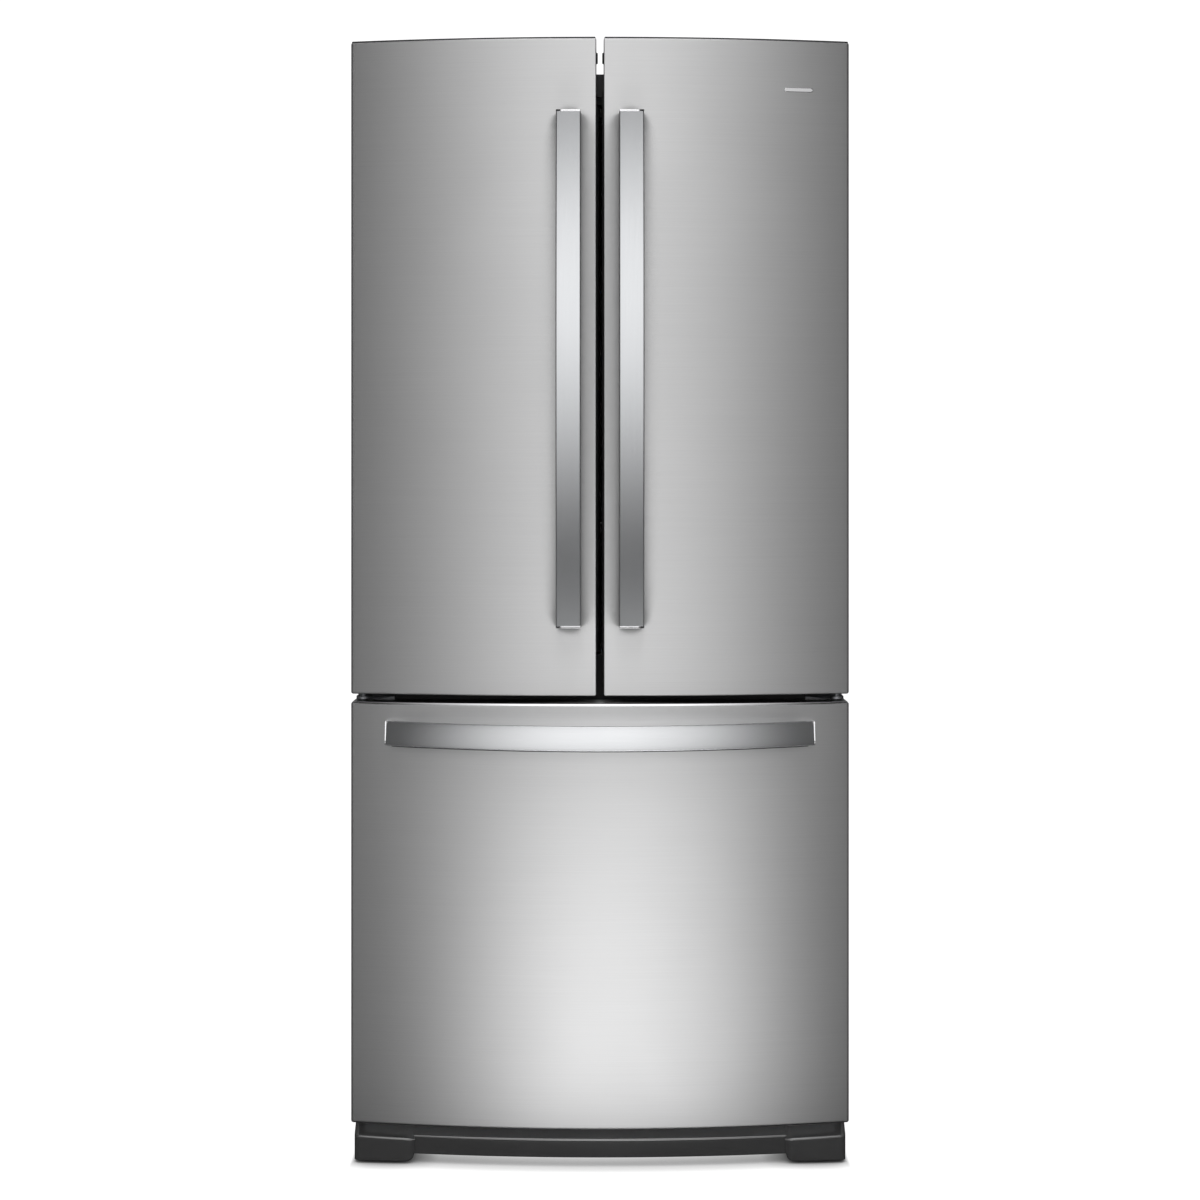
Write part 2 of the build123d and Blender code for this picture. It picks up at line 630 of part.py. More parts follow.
with BuildPart() as slide_middles:
    for side in (-1, 1):
        block(span(side, *MIDDLE_SLIDE), (SLIDE_Y[0] + 4, SLIDE_Y[1]), (340, 370))
write(slide_middles, "slide_middles")

DIKE_BACK = -240.0
LEDGE = (333.0, 336.0)
with BuildPart() as drawer_slides:
    for side in (-1, 1):
        block(span(side, *INNER_SLIDE), (DIKE_BACK, SLIDE_Y[1] - 5), (333, 367))
        block(span(side, 288, INNER_SLIDE[0]), (DIKE_BACK, SLIDE_Y[1] - 5), LEDGE)
write(drawer_slides, "drawer_slides")

with BuildPart() as lower_basket:
    block((-303, 303), (-236, 100), (LEDGE[1], LEDGE[1] + 3))
    block((-285, 285), (-236, 100), (105, LEDGE[1]))
    block((-282, 282), (-233, 97), (108, LEDGE[1] + 4), Mode.SUBTRACT)
write(lower_basket, "lower_basket")

UPPER_RIM = (525.0, 530.0)
with BuildPart() as upper_basket:
    block((-321, 321), (-225, 270), UPPER_RIM)
    block((-300, 300), (-225, 270), (425, UPPER_RIM[0]))
    block((-297, 297), (-222, 267), (428, UPPER_RIM[1] + 1), Mode.SUBTRACT)
write(upper_basket, "upper_basket")

# ---- Upper doors ----
DIKE_Y = -225.0
DIKE_X = (60.0, 314.0)
DIKE_Z = (980.0, 1600.0)
DIKE_WALL = 12.0
BIN_LEVELS = (1000.0, 1210.0, 1420.0)
BIN_HEIGHT = 90.0
BIN_FRONT = -162.0
SEAL_OUTER = 361.5
SEAL_WIDTH = 20.0
HANDLE_X = 47.0
HANDLE_HALF = 18.5
HANDLE_Z = (820.0, 1590.0)
HANDLE_END = 35.0  # bar's front ahead of the door, at its ends
HANDLE_MIDDLE = 58.0
BAR = 11.0
BAR_EDGE = 1.5  # bevel along the bars
END_CAP = 3.0
POST = 26.0
CORNER = 4.0

for side, name in ((-1, "left"), (1, "right")):
    outer = span(side, DOOR_GAP / 2, HALF)
    inner = span(side, DOOR_GAP / 2 + SKIN, HALF - SKIN)
    notch = (span(side, HINGE_X - 16, HALF + 1), (HINGE_Y - 26, DOOR_BACK + 1), (NOTCH_FLOOR, HEIGHT + 1))

    with BuildPart() as door_skin:
        bowed_slab(outer, DOOR_BACK, (DOOR_BOTTOM, HEIGHT), 0, CORNER)
        bowed_slab(inner, DOOR_BACK + 1, (DOOR_BOTTOM - 1, HEIGHT + 1), SKIN, CORNER - SKIN, Mode.SUBTRACT)
        block(*notch, Mode.SUBTRACT)
    write(door_skin, f"{name}_door_skin")

    with BuildPart() as door_caps:
        bowed_slab(inner, DOOR_BACK, (DOOR_BOTTOM + 1, DOOR_BOTTOM + CAP), SKIN, CORNER - SKIN)
        bowed_slab(inner, DOOR_BACK, (HEIGHT - TOP_CAP, HEIGHT - 1), SKIN, CORNER - SKIN)
        block(*notch, Mode.SUBTRACT)
        for z in (DOOR_BOTTOM, PIN_TIP - 2):
            rod(
                (side * HINGE_X, HINGE_Y, z - 5),
                (side * HINGE_X, HINGE_Y, z + CAP + 1),
                PIN_RADIUS + FIT,
                Mode.SUBTRACT,
            )
    write(door_caps, f"{name}_door_caps")

    with BuildPart() as door_panel:
        bowed_slab(inner, DOOR_BACK, (DOOR_BOTTOM + CAP, HEIGHT - TOP_CAP), SKIN, CORNER - SKIN)
        frame_ring(span(side, *DIKE_X), (DOOR_BACK, DIKE_Y), DIKE_Z, DIKE_WALL, Mode.ADD)
    write(door_panel, f"{name}_door_panel")

    with BuildPart() as door_gasket:
        lip = 2.8 if side > 0 else 8.0
        frame_ring(span(side, lip, SEAL_OUTER), (DOOR_BACK, CABINET_FRONT - CLEAR), (726, 1658), SEAL_WIDTH)
    write(door_gasket, f"{name}_door_gasket")

    with BuildPart() as door_bins:
        for level in BIN_LEVELS:
            open_box(
                span(side, DIKE_X[0] + DIKE_WALL, DIKE_X[1] - DIKE_WALL),
                (DOOR_BACK, BIN_FRONT),
                (level, level + BIN_HEIGHT),
                3,
            )
    write(door_bins, f"{name}_door_bins")

    surface = bowed_front(HANDLE_X)
    bar_ends = (HANDLE_Z[0] + END_CAP, HANDLE_Z[1] - END_CAP)
    bar_middle = sum(HANDLE_Z) / 2
    with BuildPart() as handle:
        with BuildSketch(Plane.YZ.offset(side * HANDLE_X - HANDLE_HALF)) as strip:
            with BuildLine():
                ThreePointArc(
                    (surface - HANDLE_END, bar_ends[0]),
                    (surface - HANDLE_MIDDLE, bar_middle),
                    (surface - HANDLE_END, bar_ends[1]),
                )
                Line((surface - HANDLE_END, bar_ends[1]), (surface - HANDLE_END + BAR, bar_ends[1]))
                ThreePointArc(
                    (surface - HANDLE_END + BAR, bar_ends[1]),
                    (surface - HANDLE_MIDDLE + BAR, bar_middle),
                    (surface - HANDLE_END + BAR, bar_ends[0]),
                )
                Line((surface - HANDLE_END + BAR, bar_ends[0]), (surface - HANDLE_END, bar_ends[0]))
            make_face()
        extrude(strip.sketch, amount=2 * HANDLE_HALF)
        chamfer(handle.edges().filter_by(lambda e: e.length > 100), BAR_EDGE)
    write(handle, f"{name}_handle")

    with BuildPart() as handle_ends:
        reach = (side * HANDLE_X - HANDLE_HALF, side * HANDLE_X + HANDLE_HALF)
        for end, inward in ((HANDLE_Z[0], 1), (HANDLE_Z[1], -1)):
            cap_z = tuple(sorted((end, end + inward * END_CAP)))
            post_z = tuple(sorted((end, end + inward * POST)))
            block(reach, (surface - HANDLE_END - 0.5, NOSE + 6), cap_z)
            block(reach, (surface - HANDLE_END + 6, NOSE + 6), post_z)
        add(handle.part, mode=Mode.SUBTRACT)
        bowed_slab(outer, DOOR_BACK, (DOOR_BOTTOM, HEIGHT), 0, 0, Mode.SUBTRACT)
    write(handle_ends, f"{name}_handle_ends")

# Centre mullion: folds on the left door and closes the gap behind both doors.
with BuildPart() as mullion:
    knuckle_y = CABINET_FRONT + 0.8 + MULLION_KNUCKLE
    block(
        (MULLION_PIVOT_X, -0.5),
        (CABINET_FRONT + 0.8, knuckle_y + MULLION_KNUCKLE),
        (FRESH_FLOOR + 4, MULLION_TOP),
    )
    fillet(mullion.edges().filter_by(Axis.Z).group_by(Axis.X)[-1], 3)
    rod(
        (MULLION_PIVOT_X, knuckle_y, FRESH_FLOOR + 4),
        (MULLION_PIVOT_X, knuckle_y, MULLION_TOP),
        MULLION_KNUCKLE,
    )
write(mullion, "mullion")

# ---- Freezer drawer ----
DRAWER_X = (-HALF, HALF)
DRAWER_INNER = (-HALF + SKIN, HALF - SKIN)
TOP_RETURN_BACK = DOOR_BACK - 28
STRIP_Z = (690.0, 697.0)
with BuildPart() as drawer_skin:
    bowed_slab(DRAWER_X, DOOR_BACK, (DRAWER_BOTTOM, DRAWER_TOP), 0, CORNER)
    bowed_slab(
        DRAWER_INNER,
        DOOR_BACK + 1,
        (DRAWER_BOTTOM + SKIN, DRAWER_TOP - SKIN),
        SKIN,
        CORNER - SKIN,
        Mode.SUBTRACT,
    )
    block(
        DRAWER_INNER,
        (TOP_RETURN_BACK, DOOR_BACK + 1),
        (DRAWER_TOP - SKIN - 1, DRAWER_TOP + 1),
        Mode.SUBTRACT,
    )
write(drawer_skin, "drawer_skin")

with BuildPart() as drawer_panel:
    bowed_slab(DRAWER_INNER, DOOR_BACK, (DRAWER_BOTTOM + SKIN, DRAWER_TOP - SKIN), SKIN, CORNER - SKIN)
    block(DRAWER_INNER, (TOP_RETURN_BACK, DOOR_BACK + 1), (STRIP_Z[0], DRAWER_TOP + 1), Mode.SUBTRACT)
    block((-314, 314), (DOOR_BACK, DIKE_BACK), (110, 640))
    block((-300, 300), (DIKE_BACK - 22, DIKE_BACK + 1), (124, 626), Mode.SUBTRACT)
write(drawer_panel, "drawer_panel")

with BuildPart() as drawer_gasket:
    frame_ring((-SEAL_OUTER, SEAL_OUTER), (DOOR_BACK, CABINET_FRONT - CLEAR), (74, 690), 18)
    block(DRAWER_INNER, (TOP_RETURN_BACK, DOOR_BACK), STRIP_Z)
write(drawer_gasket, "drawer_gasket")

FREEZER_HANDLE_HALF = 323.0
FREEZER_HANDLE_Z = 661.0
FREEZER_BAR = 36.0
FREEZER_END = 32.0  # bar's front ahead of the drawer, at its ends
LEAN_Y = -375.0  # the arched bar leans about the line between its two ends
DROOP = 3.0  # degrees that it leans down towards its middle
with BuildPart() as freezer_handle:
    lean = Plane(origin=(0, LEAN_Y, FREEZER_HANDLE_Z)).rotated((-DROOP, 0, 0))
    end_x = FREEZER_HANDLE_HALF - END_CAP
    end_y = bowed_front(end_x) - FREEZER_END - LEAN_Y
    tip_y = -DEPTH / 2 - LEAN_Y + FREEZER_BAR / 2 * sin(radians(DROOP))
    with BuildSketch(lean.offset(-FREEZER_BAR / 2)) as strip:
        with BuildLine():
            ThreePointArc((-end_x, end_y), (0, tip_y), (end_x, end_y))
            Line((end_x, end_y), (end_x, end_y + BAR))
            ThreePointArc((end_x, end_y + BAR), (0, tip_y + BAR), (-end_x, end_y + BAR))
            Line((-end_x, end_y + BAR), (-end_x, end_y))
        make_face()
    extrude(strip.sketch, amount=FREEZER_BAR)
    chamfer(freezer_handle.edges().filter_by(lambda e: e.length > 100), BAR_EDGE)
write(freezer_handle, "freezer_handle")

with BuildPart() as freezer_handle_ends:
    for side in (-1, 1):
        z = (FREEZER_HANDLE_Z - FREEZER_BAR / 2, FREEZER_HANDLE_Z + FREEZER_BAR / 2)
        front = bowed_front(end_x) - FREEZER_END
        block(span(side, end_x, FREEZER_HANDLE_HALF), (front - 0.5, DOOR_BACK - 60), z)
        block(span(side, FREEZER_HANDLE_HALF - POST, FREEZER_HANDLE_HALF), (front + 5, DOOR_BACK - 60), z)
    add(freezer_handle.part, mode=Mode.SUBTRACT)
    bowed_slab(DRAWER_X, DOOR_BACK + 5, (DRAWER_BOTTOM, DRAWER_TOP), 0, 0, Mode.SUBTRACT)
write(freezer_handle_ends, "freezer_handle_ends")
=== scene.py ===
# %% [markdown]
# # A french door refrigerator
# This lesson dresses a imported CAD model. The CAD model gives every piece its size, place and joint.
# Blender gives the pieces their final surfaces: formed steel fronts, satin bars, moulded trim, clear bins
# and wire baskets. The frame is loaded first and never changed, so each new piece is made where it says.

# %% Load the frame
from math import atan2, cos, pi, radians, sin, sqrt, tan

import bmesh
import bpy
from mathutils import Matrix, Vector


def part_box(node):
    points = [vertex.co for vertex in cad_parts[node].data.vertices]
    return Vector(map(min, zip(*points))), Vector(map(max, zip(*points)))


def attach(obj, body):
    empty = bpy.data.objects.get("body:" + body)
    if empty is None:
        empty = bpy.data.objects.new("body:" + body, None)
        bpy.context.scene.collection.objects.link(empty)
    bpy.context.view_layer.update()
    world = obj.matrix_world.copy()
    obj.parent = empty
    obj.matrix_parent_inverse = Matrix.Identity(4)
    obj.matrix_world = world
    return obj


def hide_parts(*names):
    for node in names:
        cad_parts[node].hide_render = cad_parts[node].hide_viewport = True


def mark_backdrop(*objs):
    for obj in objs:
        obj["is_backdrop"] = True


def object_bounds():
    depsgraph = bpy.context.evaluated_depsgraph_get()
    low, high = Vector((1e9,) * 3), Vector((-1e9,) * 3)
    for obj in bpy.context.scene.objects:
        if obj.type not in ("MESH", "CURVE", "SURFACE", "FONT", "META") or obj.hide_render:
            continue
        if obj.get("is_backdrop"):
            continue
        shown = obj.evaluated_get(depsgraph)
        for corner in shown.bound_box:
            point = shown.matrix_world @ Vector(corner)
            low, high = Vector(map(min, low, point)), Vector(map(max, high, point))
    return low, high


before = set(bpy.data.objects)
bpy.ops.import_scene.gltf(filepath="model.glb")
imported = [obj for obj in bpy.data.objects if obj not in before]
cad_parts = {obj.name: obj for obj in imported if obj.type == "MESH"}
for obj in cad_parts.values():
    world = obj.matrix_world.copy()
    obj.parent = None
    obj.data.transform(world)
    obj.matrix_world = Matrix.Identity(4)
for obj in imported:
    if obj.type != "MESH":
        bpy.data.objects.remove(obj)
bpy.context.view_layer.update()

scene = bpy.context.scene

# %% [markdown]
# ## Sizes read from the frame
# A size that the frame already holds is read, not typed again. The bow of the fronts comes from the drawer
# front: its middle stands furthest forward, and its sides stand back by the height of one long arc.
# Two numbers of the formed sheet are not in the frame: the radius of its folds and the width of its lip.

# %% Shared sizes
MM = 0.001
drawer_low, drawer_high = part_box("drawer_skin")
HALF_WIDTH = drawer_high.x
NOSE_Y = drawer_low.y
DOOR_BACK_Y = drawer_high.y
BOW = 36 * MM
BOW_RADIUS = (HALF_WIDTH**2 + BOW**2) / (2 * BOW)
BOW_CENTRE_Y = NOSE_Y + BOW_RADIUS
FOLD = 3.4 * MM
LIP = 12 * MM
print("front radius", round(BOW_RADIUS, 3), "nose", round(NOSE_Y, 3), "door back", round(DOOR_BACK_Y, 3))


def front_y(x):
    """Y of the bowed front at x."""
    return BOW_CENTRE_Y - sqrt(BOW_RADIUS**2 - x * x)


# %% [markdown]
# ## Camera
# The camera stands at chest height, level, a little over three metres away. Keeping it level keeps the
# upright edges parallel, and a small lens shift, not a tilt, brings the base into the frame.

# %% Camera
LENS, SENSOR, LENS_SHIFT = 64, 36, -0.0933
CAMERA_SPOT = (0, -3.566, 1.028)
camera_data = bpy.data.cameras.new("studio_camera")
camera = bpy.data.objects.new("studio_camera", camera_data)
scene.collection.objects.link(camera)
camera_data.lens = LENS
camera_data.sensor_width = SENSOR
camera_data.shift_y = LENS_SHIFT
camera.location = CAMERA_SPOT
camera.rotation_euler = (radians(90), 0, 0)
scene.camera = camera
scene.view_settings.view_transform = "Standard"
print("camera", tuple(round(v, 3) for v in camera.location), "lens", camera_data.lens)

# %% [markdown]
# ## Node helpers
# Every material is a small node tree, and a few helpers keep the trees readable. One adds a node and sets its
# values, one joins two sockets, one does a sum on sockets or numbers, and one eases between two values.

# %% Node helpers


def add_node(tree, kind, **values):
    """A new node. Names of its own properties are set as such, and the rest are input sockets."""
    node = tree.nodes.new(kind)
    for key, value in values.items():
        if hasattr(node, key):
            setattr(node, key, value)
        else:
            node.inputs[key.replace("_", " ")].default_value = value
    return node


def join(tree, output, target):
    """Join an output socket to an input socket."""
    tree.links.new(output, target)


def calculate(tree, operation, *sources):
    """The output of a math node. Each source is a socket or a number."""
    node = add_node(tree, "ShaderNodeMath", operation=operation)
    for socket, source in zip(node.inputs, sources):
        if isinstance(source, (int, float)):
            socket.default_value = source
        else:
            join(tree, source, socket)
    return node.outputs[0]


def eased(tree, source, start, end, low=0.0, high=1.0):
    """Ease from low to high while the source goes from start to end."""
    node = add_node(tree, "ShaderNodeMapRange", interpolation_type="SMOOTHSTEP")
    for label, value in (("From Min", start), ("From Max", end), ("To Min", low), ("To Max", high)):
        node.inputs[label].default_value = value
    join(tree, source, node.inputs["Value"])
    return node.outputs["Result"]


def new_group(name, inputs, outputs):
    """A shader node group with named sockets. Returns the tree and its two end nodes."""
    tree = bpy.data.node_groups.new(name, "ShaderNodeTree")
    for label, kind, default in inputs:
        socket = tree.interface.new_socket(name=label, in_out="INPUT", socket_type=kind)
        if default is not None:
            socket.default_value = default
    for label, kind in outputs:
        tree.interface.new_socket(name=label, in_out="OUTPUT", socket_type=kind)
    return tree, tree.nodes.new("NodeGroupInput"), tree.nodes.new("NodeGroupOutput")


def place_group(tree, group, **values):
    """Put a group in a material with its own values."""
    node = tree.nodes.new("ShaderNodeGroup")
    node.node_tree = group
    for key, value in values.items():
        node.inputs[key.replace("_", " ")].default_value = value
    return node


FLOAT = "NodeSocketFloat"
VECTOR = "NodeSocketVector"

# %% [markdown]
# ## Shared effects
# Four effects return in many finishes, so each is a group that puts out a mask or a normal.
# *Fine grain* is noise stretched along one direction, for brushed metal. *Mottle* is slow, broken change,
# for finger marks and paint. *Pebble* is the cell pattern of textured paint and moulded plastic.
# *Soft edge* rounds a normal near an edge and marks the edge itself, where paint wears and dust gathers.

# %% Fine grain group
grain_group, grain_in, grain_out = new_group(
    "Fine grain",
    [("Vector", VECTOR, None), ("Stretch", VECTOR, (8.0, 8.0, 1500.0)), ("Depth", FLOAT, 1.0)],
    [("Mask", FLOAT), ("Height", FLOAT)],
)
stretch = add_node(grain_group, "ShaderNodeVectorMath", operation="MULTIPLY")
join(grain_group, grain_in.outputs["Vector"], stretch.inputs[0])
join(grain_group, grain_in.outputs["Stretch"], stretch.inputs[1])
streaks = add_node(grain_group, "ShaderNodeTexNoise", Scale=1.0, Detail=5.0, Roughness=0.65)
join(grain_group, stretch.outputs[0], streaks.inputs["Vector"])
deepened = calculate(grain_group, "MULTIPLY", streaks.outputs["Fac"], grain_in.outputs["Depth"])
join(grain_group, streaks.outputs["Fac"], grain_out.inputs["Mask"])
join(grain_group, deepened, grain_out.inputs["Height"])

# %% Mottle group
mottle_group, mottle_in, mottle_out = new_group(
    "Mottle",
    [("Vector", VECTOR, None), ("Size", FLOAT, 6.0), ("Low", FLOAT, 0.35), ("High", FLOAT, 0.65)],
    [("Mask", FLOAT)],
)
broad = add_node(mottle_group, "ShaderNodeTexNoise", Detail=3.0, Roughness=0.55, Distortion=0.4)
join(mottle_group, mottle_in.outputs["Vector"], broad.inputs["Vector"])
join(mottle_group, mottle_in.outputs["Size"], broad.inputs["Scale"])
spread = add_node(mottle_group, "ShaderNodeMapRange", interpolation_type="SMOOTHSTEP")
join(mottle_group, broad.outputs["Fac"], spread.inputs["Value"])
join(mottle_group, mottle_in.outputs["Low"], spread.inputs["From Min"])
join(mottle_group, mottle_in.outputs["High"], spread.inputs["From Max"])
join(mottle_group, spread.outputs["Result"], mottle_out.inputs["Mask"])

# %% Pebble group
pebble_group, pebble_in, pebble_out = new_group(
    "Pebble", [("Vector", VECTOR, None), ("Size", FLOAT, 500.0)], [("Height", FLOAT)]
)
cells = add_node(pebble_group, "ShaderNodeTexVoronoi", feature="SMOOTH_F1", Smoothness=0.6)
join(pebble_group, pebble_in.outputs["Vector"], cells.inputs["Vector"])
join(pebble_group, pebble_in.outputs["Size"], cells.inputs["Scale"])
join(pebble_group, cells.outputs["Distance"], pebble_out.inputs["Height"])

# %% Soft edge group
edge_group, edge_in, edge_out = new_group(
    "Soft edge", [("Radius", FLOAT, 0.001)], [("Edge", FLOAT), ("Normal", VECTOR)]
)
rounding = add_node(edge_group, "ShaderNodeBevel", samples=4)
join(edge_group, edge_in.outputs["Radius"], rounding.inputs["Radius"])
facing = add_node(edge_group, "ShaderNodeNewGeometry")
agree = add_node(edge_group, "ShaderNodeVectorMath", operation="DOT_PRODUCT")
join(edge_group, rounding.outputs["Normal"], agree.inputs[0])
join(edge_group, facing.outputs["Normal"], agree.inputs[1])
join(edge_group, eased(edge_group, agree.outputs["Value"], 0.995, 0.85), edge_out.inputs["Edge"])
join(edge_group, rounding.outputs["Normal"], edge_out.inputs["Normal"])
print("shared effects", len(bpy.data.node_groups))

# %% [markdown]
# ## Metal finishes
# Brushed steel keeps its shine in one band across the grain. The grain runs from side to side, so the
# light spreads up and down, and a flat front looks even from top to bottom while it darkens towards its
# sides. Two scales of streaks break up the tone, and slow smudges change the roughness a little.

# %% Metals


def start_material(name):
    """A cleared material. Returns it with its tree, shader, coordinates and output."""
    material = bpy.data.materials.new(name)
    material.use_nodes = True
    tree = material.node_tree
    tree.nodes.clear()
    shader = add_node(tree, "ShaderNodeBsdfPrincipled")
    output = add_node(tree, "ShaderNodeOutputMaterial")
    join(tree, shader.outputs["BSDF"], output.inputs["Surface"])
    coordinates = add_node(tree, "ShaderNodeTexCoord")
    return material, tree, shader, coordinates.outputs["Object"], output


def two_tones(tree, mask, low, high):
    """A colour that goes from low to high with a mask."""
    mix = add_node(tree, "ShaderNodeMix", data_type="RGBA")
    mix.inputs["A"].default_value = (*low, 1)
    mix.inputs["B"].default_value = (*high, 1)
    join(tree, mask, mix.inputs["Factor"])
    return mix.outputs["Result"]


def between(tree, mask, low, high):
    """A value that goes from low to high with a mask."""
    spread = add_node(tree, "ShaderNodeMapRange")
    spread.inputs["To Min"].default_value = low
    spread.inputs["To Max"].default_value = high
    join(tree, mask, spread.inputs["Value"])
    return spread.outputs["Result"]


def metal(name, low, high, roughness, stretch, depth, anisotropic=0.0, painted_shade=0.0, edge=0.0008):
    """Bare or brushed metal with streaks, smudges and softened edges. Painted shade, when given, darkens the
    tone in close corners.
    """
    material, tree, shader, place, output = start_material(name)
    shader.inputs["Metallic"].default_value = 1.0
    grain = place_group(tree, grain_group, Stretch=stretch, Depth=1.0)
    smudge = place_group(tree, mottle_group, Size=3.5, Low=0.3, High=0.75)
    soft = place_group(tree, edge_group, Radius=edge)
    join(tree, place, grain.inputs["Vector"])
    join(tree, place, smudge.inputs["Vector"])
    tone = two_tones(tree, grain.outputs["Mask"], low, high)
    # Painted shade: ambient occlusion darkens the tone where close parts stand near, such as the strip
    # between the door handles.
    if painted_shade:
        close = add_node(tree, "ShaderNodeAmbientOcclusion", samples=20, Distance=0.12)
        dim = add_node(tree, "ShaderNodeMix", data_type="RGBA", blend_type="MULTIPLY")
        dim.inputs["Factor"].default_value = 1.0
        join(tree, tone, dim.inputs["A"])
        join(tree, eased(tree, close.outputs["AO"], 0.6, 0.74, painted_shade), dim.inputs["B"])
        tone = dim.outputs["Result"]
    join(tree, tone, shader.inputs["Base Color"])
    join(tree, between(tree, smudge.outputs["Mask"], *roughness), shader.inputs["Roughness"])
    bump = add_node(tree, "ShaderNodeBump", Strength=0.25, Distance=depth)
    join(tree, grain.outputs["Height"], bump.inputs["Height"])
    join(tree, soft.outputs["Normal"], bump.inputs["Normal"])
    join(tree, bump.outputs["Normal"], shader.inputs["Normal"])
    if anisotropic:
        shader.inputs["Anisotropic"].default_value = anisotropic
        shader.inputs["Anisotropic Rotation"].default_value = 0.25
        tangent = add_node(tree, "ShaderNodeTangent", direction_type="RADIAL", axis="Z")
        join(tree, tangent.outputs["Tangent"], shader.inputs["Tangent"])
    return material


# In each recipe: the two tones, the range of roughness, and the stretch and depth of the grain.
BRUSHED = ((0.72, 0.72, 0.722), (0.8, 0.8, 0.802), (0.42, 0.46), (5, 5, 900), 0.00002)
METALS = {
    "handle_bar": ((0.64, 0.65, 0.665), (0.69, 0.7, 0.715), (0.2, 0.23), (300, 300, 3), 0.0000006),
    "lying_bar": ((0.78, 0.79, 0.805), (0.83, 0.84, 0.855), (0.24, 0.27), (3, 300, 300), 0.0000006),
    "bright_ends": ((0.84, 0.84, 0.85), (0.88, 0.88, 0.89), (0.05, 0.12), (90, 90, 90), 0.000004),
    "zinc_steel": ((0.42, 0.43, 0.45), (0.62, 0.63, 0.65), (0.38, 0.55), (60, 60, 60), 0.00002),
    "fins": ((0.7, 0.71, 0.72), (0.82, 0.83, 0.84), (0.3, 0.42), (40, 40, 600), 0.00002),
}
finish = {}
# The door steel carries painted shade in close corners. The drawer steel is the same steel without it.
finish["stainless"] = metal("stainless", *BRUSHED, anisotropic=0.85, painted_shade=0.42)
finish["drawer_steel"] = metal("drawer_steel", *BRUSHED, anisotropic=0.85)
for name, recipe in METALS.items():
    finish[name] = metal(name, *recipe)
print("metals", list(finish))

# %% [markdown]
# ## Moulded and painted finishes
# Plastic and paint share one recipe: a body tone that drifts slowly, a pebbled surface, and edges that
# catch a little wear. The pebble size and depth tell satin paint, moulded trim and rubber apart.

# %% Plastics and paints


def moulded(
    name, low, high, roughness, size, depth, edge=0.0008, worn=None, coat=0.0, gloss=1.5, scatter=0.0
):
    """Moulded plastic, rubber or paint. Worn is the tone of its rubbed edges."""
    material, tree, shader, place, output = start_material(name)
    shader.inputs["Coat Weight"].default_value = coat
    shader.inputs["Coat Roughness"].default_value = 0.06
    shader.inputs["Coat IOR"].default_value = gloss
    shader.inputs["Subsurface Weight"].default_value = scatter
    shader.inputs["Subsurface Scale"].default_value = 0.002
    drift = place_group(tree, mottle_group, Size=5.0, Low=0.3, High=0.7)
    pebble = place_group(tree, pebble_group, Size=size)
    soft = place_group(tree, edge_group, Radius=edge)
    join(tree, place, drift.inputs["Vector"])
    join(tree, place, pebble.inputs["Vector"])
    body = two_tones(tree, drift.outputs["Mask"], low, high)
    if worn:
        rub = add_node(tree, "ShaderNodeMix", data_type="RGBA")
        rub.inputs["B"].default_value = (*worn, 1)
        join(tree, soft.outputs["Edge"], rub.inputs["Factor"])
        join(tree, body, rub.inputs["A"])
        body = rub.outputs["Result"]
    join(tree, body, shader.inputs["Base Color"])
    join(tree, between(tree, drift.outputs["Mask"], *roughness), shader.inputs["Roughness"])
    bump = add_node(tree, "ShaderNodeBump", Strength=0.5, Distance=depth)
    join(tree, pebble.outputs["Height"], bump.inputs["Height"])
    join(tree, soft.outputs["Normal"], bump.inputs["Normal"])
    join(tree, bump.outputs["Normal"], shader.inputs["Normal"])
    return material


# In each recipe: the two tones, the range of roughness, and the size and depth of the pebbles.
MOULDED = {
    "cabinet_paint": ((0.12, 0.12, 0.125), (0.145, 0.145, 0.15), (0.42, 0.5), 420, 0.0002),
    "dark_trim": ((0.035, 0.035, 0.038), (0.05, 0.05, 0.054), (0.5, 0.6), 900, 0.0001),
    "base_plastic": ((0.12, 0.12, 0.121), (0.14, 0.14, 0.142), (0.5, 0.56), 1100, 0.000004),
    "seal": ((0.05, 0.05, 0.053), (0.075, 0.075, 0.08), (0.55, 0.68), 1500, 0.00005),
    "liner_white": ((0.84, 0.85, 0.86), (0.88, 0.885, 0.89), (0.25, 0.33), 260, 0.00005),
    "foam": ((0.66, 0.58, 0.36), (0.78, 0.71, 0.48), (0.8, 0.92), 240, 0.0006),
    "black_steel": ((0.022, 0.022, 0.024), (0.034, 0.034, 0.036), (0.34, 0.46), 500, 0.00005),
    "shelf_trim": ((0.76, 0.78, 0.8), (0.82, 0.84, 0.86), (0.22, 0.3), 300, 0.00003),
    "fan_plastic": ((0.1, 0.1, 0.11), (0.14, 0.14, 0.15), (0.45, 0.55), 1000, 0.00005),
    "foot_rubber": ((0.06, 0.06, 0.06), (0.1, 0.1, 0.1), (0.6, 0.75), 1200, 0.0001),
    "roller_nylon": ((0.62, 0.62, 0.6), (0.74, 0.74, 0.71), (0.4, 0.5), 600, 0.00005),
    "white_wire": ((0.84, 0.84, 0.84), (0.9, 0.9, 0.9), (0.22, 0.32), 350, 0.00006),
    "lamp_lens": ((0.84, 0.84, 0.82), (0.9, 0.9, 0.88), (0.3, 0.4), 200, 0.00003),
}
EXTRAS = {
    "cabinet_paint": {"worn": (0.2, 0.2, 0.21)},
    "base_plastic": {"coat": 1.0, "gloss": 2.8},
    "liner_white": {"edge": 0.003, "scatter": 0.05},
    "black_steel": {"worn": (0.09, 0.09, 0.09)},
    "shelf_trim": {"edge": 0.0015, "scatter": 0.05},
    "white_wire": {"edge": 0.0004, "coat": 0.4},
}
for name, recipe in MOULDED.items():
    finish[name] = moulded(name, *recipe, **EXTRAS.get(name, {}))

